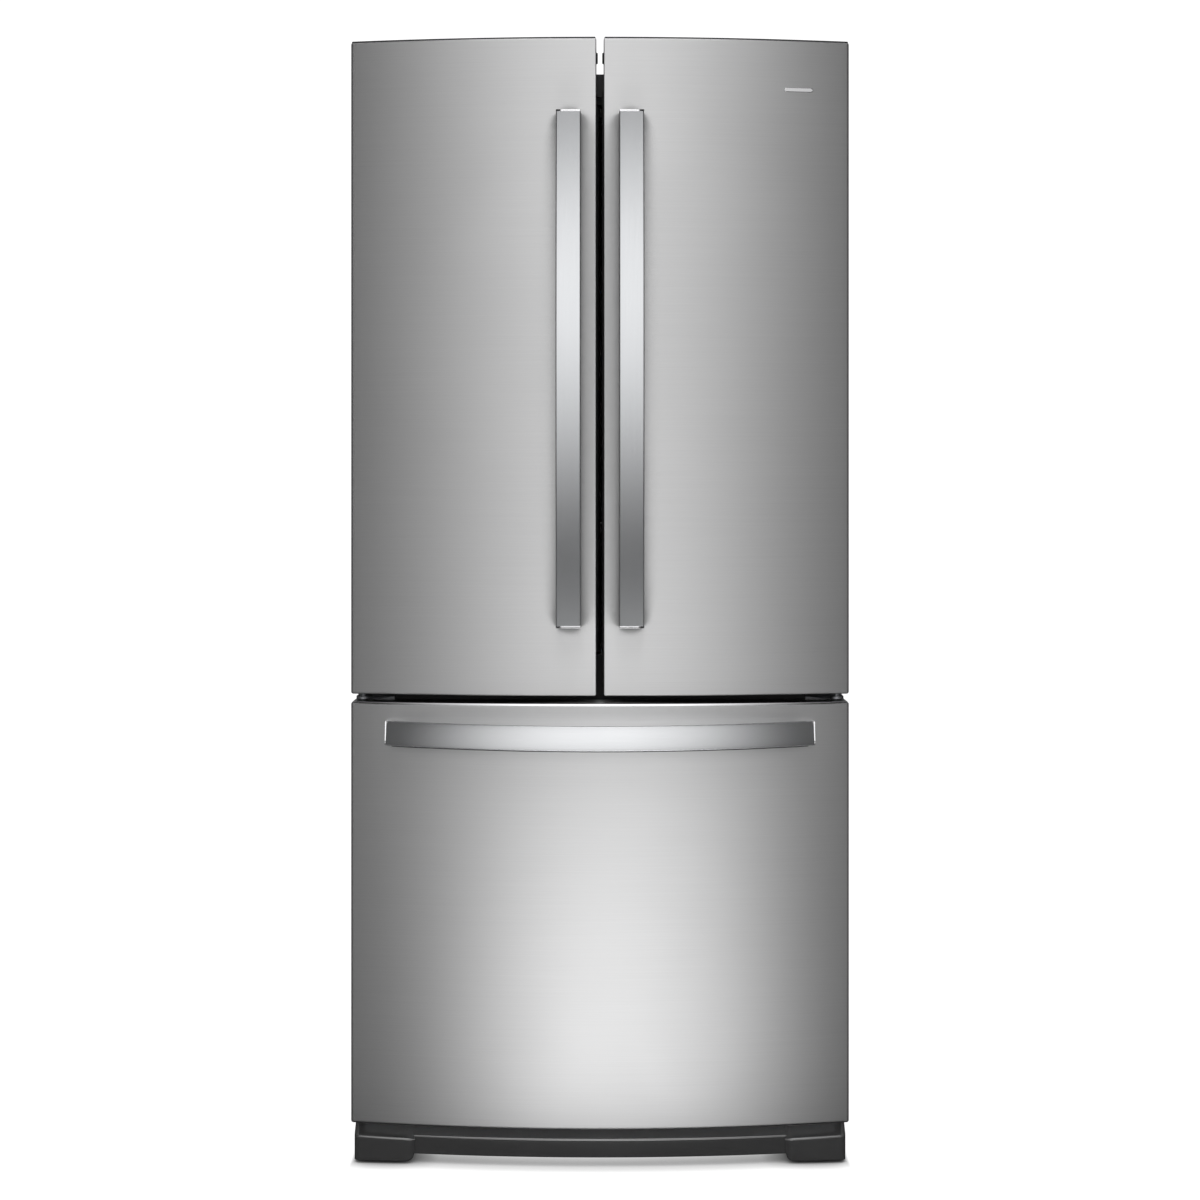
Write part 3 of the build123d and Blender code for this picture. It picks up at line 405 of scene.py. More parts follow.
# %% [markdown]
# ## Clear finishes
# Bins are thick clear plastic and shelves are tempered glass. Both let light through to what stands behind
# them, so a shadow ray sees a plain tinted sheet. Faint streaks keep their faces from looking empty.

# %% Clear plastic and glass


def clear(name, tint, roughness, haze, index):
    """Clear sheet with a tint, faint streaks in its polish, and see-through shadows."""
    material, tree, shader, place, output = start_material(name)
    shader.inputs["Transmission Weight"].default_value = 1.0 - haze
    shader.inputs["IOR"].default_value = index
    grain = place_group(tree, grain_group, Stretch=(4, 4, 30), Depth=1.0)
    film = place_group(tree, mottle_group, Size=9.0, Low=0.35, High=0.75)
    join(tree, place, grain.inputs["Vector"])
    join(tree, place, film.inputs["Vector"])
    tone = two_tones(tree, film.outputs["Mask"], tint, [v * 0.97 for v in tint])
    join(tree, tone, shader.inputs["Base Color"])
    join(tree, between(tree, film.outputs["Mask"], *roughness), shader.inputs["Roughness"])
    bump = add_node(tree, "ShaderNodeBump", Strength=0.2, Distance=0.0002)
    join(tree, grain.outputs["Height"], bump.inputs["Height"])
    join(tree, bump.outputs["Normal"], shader.inputs["Normal"])
    ray = add_node(tree, "ShaderNodeLightPath")
    open_sheet = add_node(tree, "ShaderNodeBsdfTransparent", Color=(*[v * 0.9 for v in tint], 1))
    choose = add_node(tree, "ShaderNodeMixShader")
    join(tree, ray.outputs["Is Shadow Ray"], choose.inputs["Fac"])
    join(tree, shader.outputs["BSDF"], choose.inputs[1])
    join(tree, open_sheet.outputs["BSDF"], choose.inputs[2])
    join(tree, choose.outputs["Shader"], output.inputs["Surface"])
    return material


finish["clear_bin"] = clear("clear_bin", (0.9, 0.95, 0.98), (0.03, 0.09), 0.12, 1.49)
finish["shelf_glass"] = clear("shelf_glass", (0.86, 0.95, 0.92), (0.01, 0.05), 0.03, 1.52)
print("finishes", len(finish))

# %% [markdown]
# ## Dress the CAD nodes
# Each CAD node already says which material slot it takes. The loop puts the finish of that name there.

# %% Put finishes on the frame
dressed = 0
for name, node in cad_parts.items():
    for place in node.material_slots:
        label = place.name.split(".")[0]
        place.material = finish[label]
        dressed += 1
print("slots dressed", dressed)

# %% [markdown]
# ## Studio
# Two silks light the object. One hangs behind the camera, and one hangs overhead. Each fades out towards its
# sides, so the bowed fronts darken smoothly. Beyond them the room is a dim grey that darkens to the sides.
# The camera itself sees a white room and a pale floor that glows a little, as an overexposed sweep does.

# %% World
ROOM_NEAR, ROOM_FAR = 0.25, 0.1
FADE_START, FADE_END = 0.42, 0.72
world = bpy.data.worlds.new("studio_world")
scene.world = world
world.use_nodes = True
sky = world.node_tree
sky.nodes.clear()
direction = add_node(sky, "ShaderNodeTexCoord")
parts = add_node(sky, "ShaderNodeSeparateXYZ")
room = add_node(sky, "ShaderNodeBackground")
white = add_node(sky, "ShaderNodeBackground", Color=(1, 1, 1, 1), Strength=1.1)
sight = add_node(sky, "ShaderNodeLightPath")
either = add_node(sky, "ShaderNodeMixShader")
seen = add_node(sky, "ShaderNodeOutputWorld")
join(sky, direction.outputs["Generated"], parts.inputs["Vector"])
sideways = calculate(sky, "ABSOLUTE", parts.outputs["X"])
join(sky, eased(sky, sideways, FADE_START, FADE_END, ROOM_NEAR, ROOM_FAR), room.inputs["Strength"])
join(sky, sight.outputs["Is Camera Ray"], either.inputs["Fac"])
join(sky, room.outputs["Background"], either.inputs[1])
join(sky, white.outputs["Background"], either.inputs[2])
join(sky, either.outputs["Shader"], seen.inputs["Surface"])

# %% Silks


def raised_cosine(tree, source):
    """A smooth hump: 1 where the source is 0, falling to 0 where it reaches 1 or -1."""
    held = add_node(tree, "ShaderNodeClamp", Min=-1.0, Max=1.0)
    join(tree, source, held.inputs["Value"])
    turned = calculate(tree, "MULTIPLY", held.outputs["Result"], pi)
    return calculate(tree, "MULTIPLY_ADD", calculate(tree, "COSINE", turned), 0.5, 0.5)


def silk_panel(name, low_edge, high_edge, half_width, roll, strength, fade_up=True, foot=-1.0):
    """A hung silk between two edges, each given as (y, z). It fades out towards its sides.

    With fade_up it also fades towards its top and foot. A foot above -1 cuts the fade off there.
    """
    mesh = bpy.data.meshes.new(name)
    points = []
    centre = Vector((0, (low_edge[0] + high_edge[0]) / 2, (low_edge[1] + high_edge[1]) / 2))
    turn = Matrix.Rotation(radians(roll), 3, "Y")
    for across, edge in ((-1, low_edge), (1, low_edge), (1, high_edge), (-1, high_edge)):
        points.append(turn @ (Vector((across * half_width, *edge)) - centre))
    mesh.from_pydata(points, [], [(0, 3, 2, 1)])
    layer = mesh.uv_layers.new(name="spread")
    for corner, spot in zip(layer.data, ((-1, foot), (-1, 1), (1, 1), (1, foot))):
        corner.uv = spot
    silk = bpy.data.objects.new(name, mesh)
    silk.location = centre
    scene.collection.objects.link(silk)
    material = bpy.data.materials.new(name)
    material.use_nodes = True
    tree = material.node_tree
    tree.nodes.clear()
    spread = add_node(tree, "ShaderNodeUVMap", uv_map="spread")
    split = add_node(tree, "ShaderNodeSeparateXYZ")
    join(tree, spread.outputs["UV"], split.inputs["Vector"])
    hump = raised_cosine(tree, split.outputs["X"])
    if fade_up:
        hump = calculate(tree, "MULTIPLY", hump, raised_cosine(tree, split.outputs["Y"]))
    glow = add_node(tree, "ShaderNodeEmission")
    output = add_node(tree, "ShaderNodeOutputMaterial")
    join(tree, calculate(tree, "MULTIPLY", hump, strength), glow.inputs["Strength"])
    join(tree, glow.outputs["Emission"], output.inputs["Surface"])
    mesh.materials.append(material)
    silk.visible_camera = False
    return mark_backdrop(silk)


silk_panel("front_silk", (-4.5, 0.0), (-4.5, 4.39), 4.1, -4, 1.34, foot=-0.876)
silk_panel("ceiling_silk", (-4.2, 3.9), (-0.7, 4.7), 2.0, 0, 1.75, fade_up=False)

# %% [markdown]
# ## Floor
# The floor carries a painted contact shadow only where it is close to the object and under it. For
# mirror-like rays it also holds a painted pool of light that widens towards the camera. The pool lifts the
# lower half of the steel fronts. It stops short of the base, where the floor is painted nearly black for
# mirror-like rays as painted shade, so the dark plastic there stays dark.

# %% Floor
FLOOR_TONES = ((0.5, 0.5, 0.5), (0.53, 0.53, 0.53))
FLOOR_GLOW = 0.97
CONTACT_SHADOW_REACH, CONTACT_SHADOW_POWER = 0.038, 1.7
SIDE_REACH = (-0.006, 0.005)
UNDER_FRONT, UNDER_BACK = (-0.25, -0.34), (0.4, 0.44)
POOL_STRENGTH = 1.85
POOL_CENTRE, POOL_WIDTH, POOL_SPREAD = 0.05, 0.18, -0.55
POOL_FAR, POOL_NEAR, REFLECTED_SHADE_SPAN = (-3.1, -0.7), (-0.46, -0.58), (-0.56, -0.42)


def floor_material():
    """Pale floor: matt, faintly mottled and bright to the camera, with a painted contact shadow, a painted
    pool of light and painted shade near the base.
    """
    material, tree, shader, place, output = start_material("pale_floor")
    drift = place_group(tree, mottle_group, Size=1.5, Low=0.2, High=0.8)
    join(tree, place, drift.inputs["Vector"])
    shader.inputs["Roughness"].default_value = 0.9
    shader.inputs["Specular IOR Level"].default_value = 0.1
    ray = add_node(tree, "ShaderNodeLightPath")
    near = add_node(tree, "ShaderNodeAmbientOcclusion", samples=12, Distance=CONTACT_SHADOW_REACH)
    split = add_node(tree, "ShaderNodeSeparateXYZ")
    join(tree, place, split.inputs["Vector"])
    x, y = split.outputs["X"], split.outputs["Y"]

    # Painted contact shadow: the glow seen by the camera dims where ambient occlusion finds the object close,
    # more so under it, and stays full past its sides.
    contact_shadow = calculate(tree, "POWER", near.outputs["AO"], CONTACT_SHADOW_POWER)
    past_side = eased(tree, calculate(tree, "ABSOLUTE", x), *[HALF_WIDTH + reach for reach in SIDE_REACH])
    ahead_of = eased(tree, y, *UNDER_FRONT, 0.3)
    outside = calculate(tree, "MAXIMUM", ahead_of, eased(tree, y, *UNDER_BACK))
    kept = calculate(tree, "MAXIMUM", calculate(tree, "MULTIPLY", contact_shadow, outside), past_side)
    kept = calculate(tree, "MULTIPLY", kept, ray.outputs["Is Camera Ray"])
    seen = calculate(tree, "MULTIPLY", kept, FLOOR_GLOW)

    # Painted pool of light: a glow on the floor that only mirror-like rays see.
    reach_aside = calculate(tree, "MULTIPLY_ADD", y, POOL_SPREAD, POOL_WIDTH)
    aside = calculate(tree, "DIVIDE", calculate(tree, "SUBTRACT", x, POOL_CENTRE), reach_aside)
    pool = calculate(tree, "MULTIPLY", raised_cosine(tree, aside), eased(tree, y, *POOL_FAR))
    pool = calculate(tree, "MULTIPLY", pool, eased(tree, y, *POOL_NEAR))
    pool = calculate(tree, "MULTIPLY", pool, ray.outputs["Is Glossy Ray"])
    mirrored = calculate(tree, "MULTIPLY", pool, POOL_STRENGTH)

    # Painted shade: close to the base, the floor colour turns nearly black for mirror-like rays.
    reflected_shade = calculate(tree, "MULTIPLY", eased(tree, y, *REFLECTED_SHADE_SPAN), ray.outputs["Is Glossy Ray"])
    floor_shade_mix = add_node(tree, "ShaderNodeMix", data_type="RGBA")
    floor_shade_mix.inputs["B"].default_value = (0.04, 0.04, 0.04, 1)
    join(tree, reflected_shade, floor_shade_mix.inputs["Factor"])
    join(tree, two_tones(tree, drift.outputs["Mask"], *FLOOR_TONES), floor_shade_mix.inputs["A"])
    join(tree, floor_shade_mix.outputs["Result"], shader.inputs["Base Color"])
    shader.inputs["Emission Color"].default_value = (1, 1, 1, 1)
    join(tree, calculate(tree, "ADD", seen, mirrored), shader.inputs["Emission Strength"])
    return material


floor_mesh = bpy.data.meshes.new("studio_floor")
reach = 40.0
corners = [(-reach, -reach, 0), (reach, -reach, 0), (reach, reach, 0), (-reach, reach, 0)]
floor_mesh.from_pydata(corners, [], [(0, 1, 2, 3)])
floor = bpy.data.objects.new("studio_floor", floor_mesh)
scene.collection.objects.link(floor)
floor_mesh.materials.append(floor_material())
floor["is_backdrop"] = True

# %% [markdown]
# ## Formed fronts
# A stainless front is one sheet, bent like a shallow tray. Seen from above, its outline runs forward along
# one side, round a tight corner, across the long bow and back again. Seen from the side, the sheet folds
# over at the top and bottom and ends in a lip. So the mesh is a stack of outlines, each set in a little
# more than the last as it goes round the fold.

# %% Mesh helpers


def make_piece(name, mesh_builder, material, smooth=True):
    """A finished piece at the origin from a filled bmesh."""
    mesh = bpy.data.meshes.new(name)
    bmesh.ops.recalc_face_normals(mesh_builder, faces=mesh_builder.faces)
    for edge in mesh_builder.edges:
        edge.smooth = edge.calc_face_angle(0) < radians(38)
    mesh_builder.to_mesh(mesh)
    mesh_builder.free()
    mesh.materials.append(material)
    for face in mesh.polygons:
        face.use_smooth = smooth
    piece = bpy.data.objects.new(name, mesh)
    scene.collection.objects.link(piece)
    return piece


def even_normals(piece):
    """Let large faces decide the shading, so that narrow folds don't tilt the panels beside them."""
    weigh = piece.modifiers.new("weigh", "WEIGHTED_NORMAL")
    weigh.mode = "FACE_AREA"
    weigh.keep_sharp = True
    weigh.weight = 100
    return bake(piece)


def bake(piece):
    """Turn the piece's modifiers into plain mesh."""
    graph = bpy.context.evaluated_depsgraph_get()
    graph.update()
    plain = bpy.data.meshes.new_from_object(piece.evaluated_get(graph))
    piece.modifiers.clear()
    old = piece.data
    piece.data = plain
    bpy.data.meshes.remove(old)
    plain.name = piece.name
    return piece


def bridge_rings(builder, rings, closed=False):
    """Fill between rings of points that all have the same count."""
    rows = [[builder.verts.new(point) for point in ring] for ring in rings]
    for lower, upper in zip(rows, rows[1:]):
        count = len(lower)
        for i in range(count if closed else count - 1):
            j = (i + 1) % count
            builder.faces.new((lower[i], lower[j], upper[j], upper[i]))
    return rows


# %% Formed sheet
CORNER = 4 * MM
GAP_CORNER = 1.6 * MM
RIM = 1.3 * MM
NOTCH_X, NOTCH_Y, NOTCH_Z = 346 * MM, -329 * MM, 1667 * MM


def tray_outline(low, high, inset, steps=56):
    """Plan outline of a bowed front between two sides, set in by inset, from one back edge to the other."""
    ends = []
    for side, x in ((1, high), (-1, low)):
        radius = max((CORNER if abs(x) > 0.1 else GAP_CORNER) - inset, 0.0005)
        outer = BOW_RADIUS - inset - radius
        centre_x = x - side * (inset + radius)
        centre_y = BOW_CENTRE_Y - sqrt(outer**2 - centre_x**2)
        turn = atan2(centre_x, BOW_CENTRE_Y - centre_y)
        ends.append((side, x, centre_x, centre_y, turn, radius))
    rear = DOOR_BACK_Y + 0.3 * MM
    points = []
    for side, x, centre_x, centre_y, turn, radius in ends:
        edge = x - side * inset
        run = [(edge - side * 9 * MM, rear), (edge - side * 1 * MM, rear), (edge, rear - 1 * MM)]
        for k in range(3):
            run.append((edge, rear - 1 * MM + (centre_y - rear + 1 * MM) * (k + 1) / 3))
        sweep = pi / 2 - side * turn
        for k in range(1, 9):
            angle = sweep * k / 8
            run.append((centre_x + side * radius * cos(angle), centre_y - radius * sin(angle)))
        points.append(run if side > 0 else run[::-1])
    start, end = ends[0][4], ends[1][4]
    arc = []
    for k in range(1, steps):
        angle = start + (end - start) * k / steps
        arc.append(((BOW_RADIUS - inset) * sin(angle), BOW_CENTRE_Y - (BOW_RADIUS - inset) * cos(angle)))
    return points[0] + arc + points[1]


def cut_notch(builder, above=0.0):
    """Clear the outer rear corner above a height, where the top hinge sits."""
    gone = []
    for face in builder.faces:
        spot = face.calc_center_median()
        if spot.z > above and abs(spot.x) > NOTCH_X and spot.y > NOTCH_Y:
            gone.append(face)
    bmesh.ops.delete(builder, geom=gone, context="FACES")


def formed_front(name, low, high, bottom, top, material, notch=None, top_rear=None):
    """A folded stainless front between two sides and two heights. Top_rear opens its top behind that y."""
    turns = [pi / 2 * k / 7 for k in range(8)]
    fold = [(FOLD * (1 - cos(turn)), FOLD * (1 - sin(turn))) for turn in turns]
    levels = [(bottom + 2 * MM, FOLD + LIP), (bottom, FOLD + LIP)]
    levels += [(bottom + rise, inset) for rise, inset in fold]
    levels += [(bottom + FOLD + 2 * MM, 0.0), (top - FOLD - 2 * MM, 0.0)]
    if notch:
        levels.insert(-1, (notch, 0.0))
    if top_rear is None:
        levels += [(top - rise, inset) for rise, inset in fold[::-1]]
    else:
        levels[-1] = (top - 3.2 * MM, 0.0)
        levels += [(top - 2.8 * MM, 0.1 * MM), (top - 0.6 * MM, 1.6 * MM), (top, 2.4 * MM)]
    levels += [(top, FOLD + LIP), (top - 2 * MM, FOLD + LIP)]
    rings = []
    for z, inset in levels:
        rings.append([(x, y, z) for x, y in tray_outline(low, high, inset)])
    if top_rear is not None:
        rings[-2] = [(x, max(y, top_rear), z) for x, y, z in rings[-2]]
        rings[-1] = [(x, max(y, top_rear), z) for x, y, z in rings[-1]]
    builder = bmesh.new()
    bridge_rings(builder, rings)
    if notch:
        cut_notch(builder, notch)
    bmesh.ops.remove_doubles(builder, verts=builder.verts, dist=0.00001)
    return even_normals(make_piece(name, builder, material))


# %% Door and drawer fronts
for side in ("left", "right"):
    low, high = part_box(side + "_door_skin")
    span = (low.x, high.x, low.z, high.z - RIM)
    front = formed_front(side + "_door_front", *span, finish["stainless"], notch=NOTCH_Z)
    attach(front, side + "_door")
    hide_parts(side + "_door_skin")
left, right, top = drawer_low.x, drawer_high.x, drawer_high.z
span = (left, right, drawer_low.z, top)
drawer_front = formed_front("drawer_front", *span, finish["drawer_steel"], top_rear=-0.300)
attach(drawer_front, "freezer_drawer")
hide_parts("drawer_skin")

# A bright line turns over the top edge of the drawer.
rings = []
for rise, inset in ((-3.1, 0.0), (-2.8, 0.0), (-0.5, 1.5), (0.1, 2.3)):
    rings.append([(x, y, top + rise * MM) for x, y in tray_outline(left, right, inset * MM)[3:-3]])
builder = bmesh.new()
bridge_rings(builder, rings)
top_line = even_normals(make_piece("drawer_top_line", builder, finish["bright_ends"]))
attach(top_line, "freezer_drawer")
print("fronts", len(front.data.polygons), "and", len(drawer_front.data.polygons), "faces")

# %% [markdown]
# ## Rims of the door caps
# A dark plastic cap closes the top of each door. Its rim stands a little above the folded steel, and from
# the front it draws the fine dark line along the top of the doors. It stops at the notch for the hinge.

# %% Cap rims
for side in ("left", "right"):
    low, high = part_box(side + "_door_skin")
    rings = []
    for drop, inset in ((4.0, 1.3), (0.3, 1.3), (0.0, 1.7), (0.0, 22.0)):
        outline = tray_outline(low.x, high.x, inset * MM)
        rings.append([(x, y, high.z - drop * MM) for x, y in outline])
    builder = bmesh.new()
    bridge_rings(builder, rings)
    cut_notch(builder)
    rim = even_normals(make_piece(side + "_cap_rim", builder, finish["dark_trim"]))
    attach(rim, side + "_door")
print("cap rims", len(rim.data.polygons), "faces")

# %% [markdown]
# ## Bar handles
# Each handle is a strip with rounded edges, swept along a shallow arch. The upright pair arch forwards. The
# freezer handle arches forwards too, sinks a little towards its middle, and leans its face slightly upwards
# to catch the light. A section is drawn once, flat, and each ring places it across the path.

# %% Sweep helpers


def rounded_section(half_across, half_deep, radius, crown, steps=6):
    """Section of a strip as (across, outward) points. Its outward face swells by crown at the middle."""
    points = []
    for across, out, start in ((1, 1, 0), (-1, 1, 90), (-1, -1, 180), (1, -1, 270)):
        for k in range(steps + 1):
            angle = radians(start + 90 * k / steps)
            u = across * (half_across - radius) + radius * cos(angle)
            v = out * (half_deep - radius) + radius * sin(angle)
            points.append((u, v))
        if (across, out) == (1, 1):
            for k in range(1, 12):
                u = (half_across - radius) * (1 - k / 6)
                points.append((u, half_deep + crown * (1 - (u / half_across) ** 2)))
    return points


def sweep_bar(name, path, section, material):
    """Sweep a section. Path gives (place, across, outward) for each ring."""
    builder = bmesh.new()
    rings = [[place + across * u + outward * v for u, v in section] for place, across, outward in path]
    rows = bridge_rings(builder, rings, closed=True)
    builder.faces.new(rows[0])
    builder.faces.new(rows[-1])
    return even_normals(make_piece(name, builder, material))


def arc_through(end, middle, half_span):
    """Depth of an arc at any place along its span, from its depth at the ends and at the middle."""
    rise = end - middle
    radius = (half_span**2 + rise**2) / (2 * rise)
    return lambda s: middle + radius - sqrt(radius**2 - s * s)


def slope_of(depth_at, s, half_span):
    """Slope of an arc at s, taken a little inside its ends."""
    inner = max(min(s, half_span - 0.002), 0.002 - half_span)
    return (depth_at(inner + 0.001) - depth_at(inner - 0.001)) / 0.002


# %% Upright handles
BAR_DEEP = 11 * MM
for side in ("left", "right"):
    low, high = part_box(side + "_handle")
    ends_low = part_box(side + "_handle_ends")[0]
    middle_x = (low.x + high.x) / 2
    middle_z = (low.z + high.z) / 2
    half = (high.z - low.z) / 2
    depth_at = arc_through(ends_low.y + 0.5 * MM, low.y, half)
    path = []
    for k in range(49):
        s = half * (k / 24 - 1)
        outward = Vector((0, -1, slope_of(depth_at, s, half))).normalized()
        front = Vector((middle_x, depth_at(s), middle_z + s))
        path.append((front - outward * BAR_DEEP / 2, Vector((1, 0, 0)), outward))
    section = rounded_section((high.x - low.x) / 2, BAR_DEEP / 2, 1.8 * MM, 0.15 * MM)
    bar = sweep_bar(side + "_bar", path, section, finish["handle_bar"])
    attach(bar, side + "_door")
    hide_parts(side + "_handle")
print("upright handle rings", len(path))

# %% Freezer handle
low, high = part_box("freezer_handle")
ends_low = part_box("freezer_handle_ends")[0]
half = high.x
LEAN_UP = 11.5
SINK_SLOPE = 3
depth_at = arc_through(ends_low.y + 2.5 * MM, low.y + 6 * MM, half)
path = []
for k in range(81):
    x = half * (k / 40 - 1)
    slope = slope_of(depth_at, x, half)
    along = Vector((1, slope, 0)).normalized()
    flat_out = Vector((slope, -1, 0)).normalized()
    lean = Matrix.Rotation(radians(-LEAN_UP), 3, along)
    upward, outward = lean @ Vector((0, 0, 1)), lean @ flat_out
    sink = (depth_at(x) + 375 * MM) * sin(radians(SINK_SLOPE))
    front = Vector((x, depth_at(x), 661 * MM + sink))
    path.append((front - outward * BAR_DEEP / 2, upward, outward))
section = rounded_section(18.2 * MM, BAR_DEEP / 2, 1.2 * MM, 0.5 * MM)
freezer_bar = sweep_bar("freezer_bar", path, section, finish["lying_bar"])
# Painted shadow: a dark strip behind the freezer bar, a little taller than the bar, draws a dark line of
# shade along its top and bottom edges.
shade_strip_path = [(place - outward * 2 * MM, upward, outward) for place, upward, outward in path[1:-1]]
shade_strip_section = rounded_section(18.9 * MM, 3.4 * MM, 0.6 * MM, 0.0)
shade_strip = sweep_bar("freezer_bar_core", shade_strip_path, shade_strip_section, finish["dark_trim"])
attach(shade_strip, "freezer_drawer")
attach(freezer_bar, "freezer_drawer")
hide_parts("freezer_handle")

# %% [markdown]
# ## Bright handle ends
# A polished plate closes each end of a bar, and a post behind it carries the bar on the door. The plate is
# square at its inner front corner and rounded at its outer one, where a small dark block is a painted
# reflection.

# %% Plates and posts


def corner_walk(low, high, radii, steps):
    """Walk round a rectangle. Each step gives a corner's centre, its radius and an angle."""
    spots = ((high[0], high[1], 0), (low[0], high[1], 90), (low[0], low[1], 180), (high[0], low[1], 270))
    for (x, y, start), radius in zip(spots, radii):
        centre_x = x - radius if x == high[0] else x + radius
        centre_y = y - radius if y == high[1] else y + radius
        for k in range(steps + 1):
            yield centre_x, centre_y, radius, radians(start + 90 * k / steps)


def rounded_outline(low, high, radii, steps=8):
    """Rectangle outline between two corners, with one radius for each corner."""
    walk = corner_walk(low, high, radii, steps)
    return [(x + r * cos(angle), y + r * sin(angle)) for x, y, r, angle in walk]


def add_prism(builder, outline, bottom, top, edge, place):
    """A prism with rounded rims. Place maps (a, b, height) to a point."""
    middle_a = sum(a for a, b in outline) / len(outline)
    middle_b = sum(b for a, b in outline) / len(outline)
    size_a = max(abs(a - middle_a) for a, b in outline)
    size_b = max(abs(b - middle_b) for a, b in outline)
    turns = [pi / 2 * k / 3 for k in range(4)]
    rim = [(edge * (1 - sin(turn)), edge * (1 - cos(turn))) for turn in turns]
    levels = [(bottom + rise, inset) for rise, inset in rim[::-1]]
    levels += [(top - rise, inset) for rise, inset in rim]
    levels.sort(key=lambda pair: pair[0])
    rings = []
    for height, inset in levels:
        ring = []
        for a, b in outline:
            spot_a = middle_a + (a - middle_a) * (1 - inset / size_a)
            spot_b = middle_b + (b - middle_b) * (1 - inset / size_b)
            ring.append(place(spot_a, spot_b, height))
        rings.append(ring)
    rows = bridge_rings(builder, rings, closed=True)
    builder.faces.new(rows[0])
    builder.faces.new(rows[-1])


def bright_ends(name, node, body, plates):
    """End plates and posts of one handle."""
    builder = bmesh.new()
    for outline, bottom, top, edge, place in plates:
        add_prism(builder, outline, bottom, top, edge, place)
    piece = even_normals(make_piece(name, builder, finish["bright_ends"]))
    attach(piece, body)
    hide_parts(node)
    return piece


upright = lambda a, b, height: Vector((a, b, height))
PLATE = 3 * MM
POST_LONG = 26 * MM
for side, sign in (("left", -1), ("right", 1)):
    low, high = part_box(side + "_handle_ends")
    back = front_y(47 * MM) + 2 * MM
    front_radii = (9 * MM, 0.6 * MM) if sign < 0 else (0.6 * MM, 9 * MM)
    plate = rounded_outline((low.x, low.y), (high.x, back), (0.5 * MM, 0.5 * MM, *front_radii))
    post_radii = (0.5 * MM, 0.5 * MM, 3 * MM, 3 * MM)
    post = rounded_outline((low.x + 2 * MM, low.y + 7 * MM), (high.x - 2 * MM, back), post_radii)
    plates = []
    for end, inward in ((low.z, 1), (high.z, -1)):
        a, b = sorted((end, end + inward * PLATE))
        plates.append((plate, a, b, 0.7 * MM, upright))
        a, b = sorted((end + inward * PLATE, end + inward * POST_LONG))
        plates.append((post, a, b, 0.5 * MM, upright))
    bright_ends(side + "_bar_ends", side + "_handle_ends", side + "_door", plates)
    # Painted dark reflection: a small dark block at the outer front corner of each end plate.
    builder = bmesh.new()
    a, b = (low.x, low.x + 4.5 * MM) if sign < 0 else (high.x - 4.5 * MM, high.x)
    dark_spot = rounded_outline((a, low.y + 0.4 * MM), (b, low.y + 12 * MM), (0.3 * MM,) * 4, steps=2)
    for bottom in (low.z + 0.2 * MM, high.z - 2.8 * MM):
        add_prism(builder, dark_spot, bottom, bottom + 2.6 * MM, 0.3 * MM, upright)
    dark_spots = even_normals(make_piece(side + "_bar_tips", builder, finish["dark_trim"]))
    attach(dark_spots, side + "_door")

low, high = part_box("freezer_handle_ends")
lean_back = tan(radians(LEAN_UP))
leaning = lambda a, b, height: Vector((height, a + (b - low.z) * lean_back, b))
plates = []
for end, inward in ((low.x, 1), (high.x, -1)):
    back = front_y(high.x - POST_LONG) + 2 * MM
    plate = rounded_outline((low.y, low.z), (back, high.z), (0.5 * MM, 1 * MM, 7 * MM, 0.5 * MM))
    post_radii = (0.5 * MM, 3 * MM, 3 * MM, 0.5 * MM)
    post = rounded_outline((low.y + 7 * MM, low.z + 2 * MM), (back, high.z - 2 * MM), post_radii)
    a, b = sorted((end, end + inward * PLATE))
    plates.append((plate, a, b, 0.7 * MM, leaning))
    a, b = sorted((end + inward * PLATE, end + inward * POST_LONG))
    plates.append((post, a, b, 0.5 * MM, leaning))
ends = bright_ends("freezer_bar_ends", "freezer_handle_ends", "freezer_drawer", plates)
print("end faces", len(ends.data.polygons))

# %% [markdown]
# ## Base trim
# Two corner covers hide the front feet, and a bowed bar runs between them. All three share one section: an
# upright face, a soft ridge and a slope that leans back under the drawer. The bar runs into each cover
# through a shallow valley. The covers are drawn as outlines from the front, each with its own bottom corner.

# %% Base section


def ridge_profile(bottom, ridge, top, setback, radius, steps=7):
    """Section of the base trim as (setback, height) points, with a rounded ridge."""
    slope = atan2(setback, top - ridge)
    cut = radius * sin(slope) / (1 + cos(slope))
    points = [(1.2 * MM, bottom), (0, bottom + 1.2 * MM), (0, ridge - cut)]
    for k in range(1, steps + 1):
        angle = slope * k / steps
        points.append((radius * (1 - cos(angle)), ridge - cut + radius * sin(angle)))
    points.append((setback, top))
    return points


def solid_sweep(name, stations, material, body, node):
    """Close a row of sections, each a list of points, into one solid."""
    builder = bmesh.new()
    rows = bridge_rings(builder, stations, closed=True)
    builder.faces.new(rows[0])
    builder.faces.new(rows[-1])
    piece = even_normals(make_piece(name, builder, material))
    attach(piece, body)
    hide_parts(node)
    return piece


# %% Base bar
low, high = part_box("base_grille")
grille_front = low.y
grille_half = high.x
profile = ridge_profile(low.z, 42 * MM, high.z, 20 * MM, 6 * MM)
stations = []
for k in range(61):
    x = grille_half * (k / 30 - 1)
    front = grille_front + front_y(x) - NOSE_Y
    ring = [Vector((x, front + back, z)) for back, z in profile]
    for back, z in ((23 * MM, high.z), (23 * MM, low.z + 20 * MM), (5 * MM, low.z)):
        ring.append(Vector((x, front + back, z)))
    stations.append(ring)
solid_sweep("base_bar", stations, finish["base_plastic"], "cabinet", "base_grille")
print("base bar stations", len(stations))

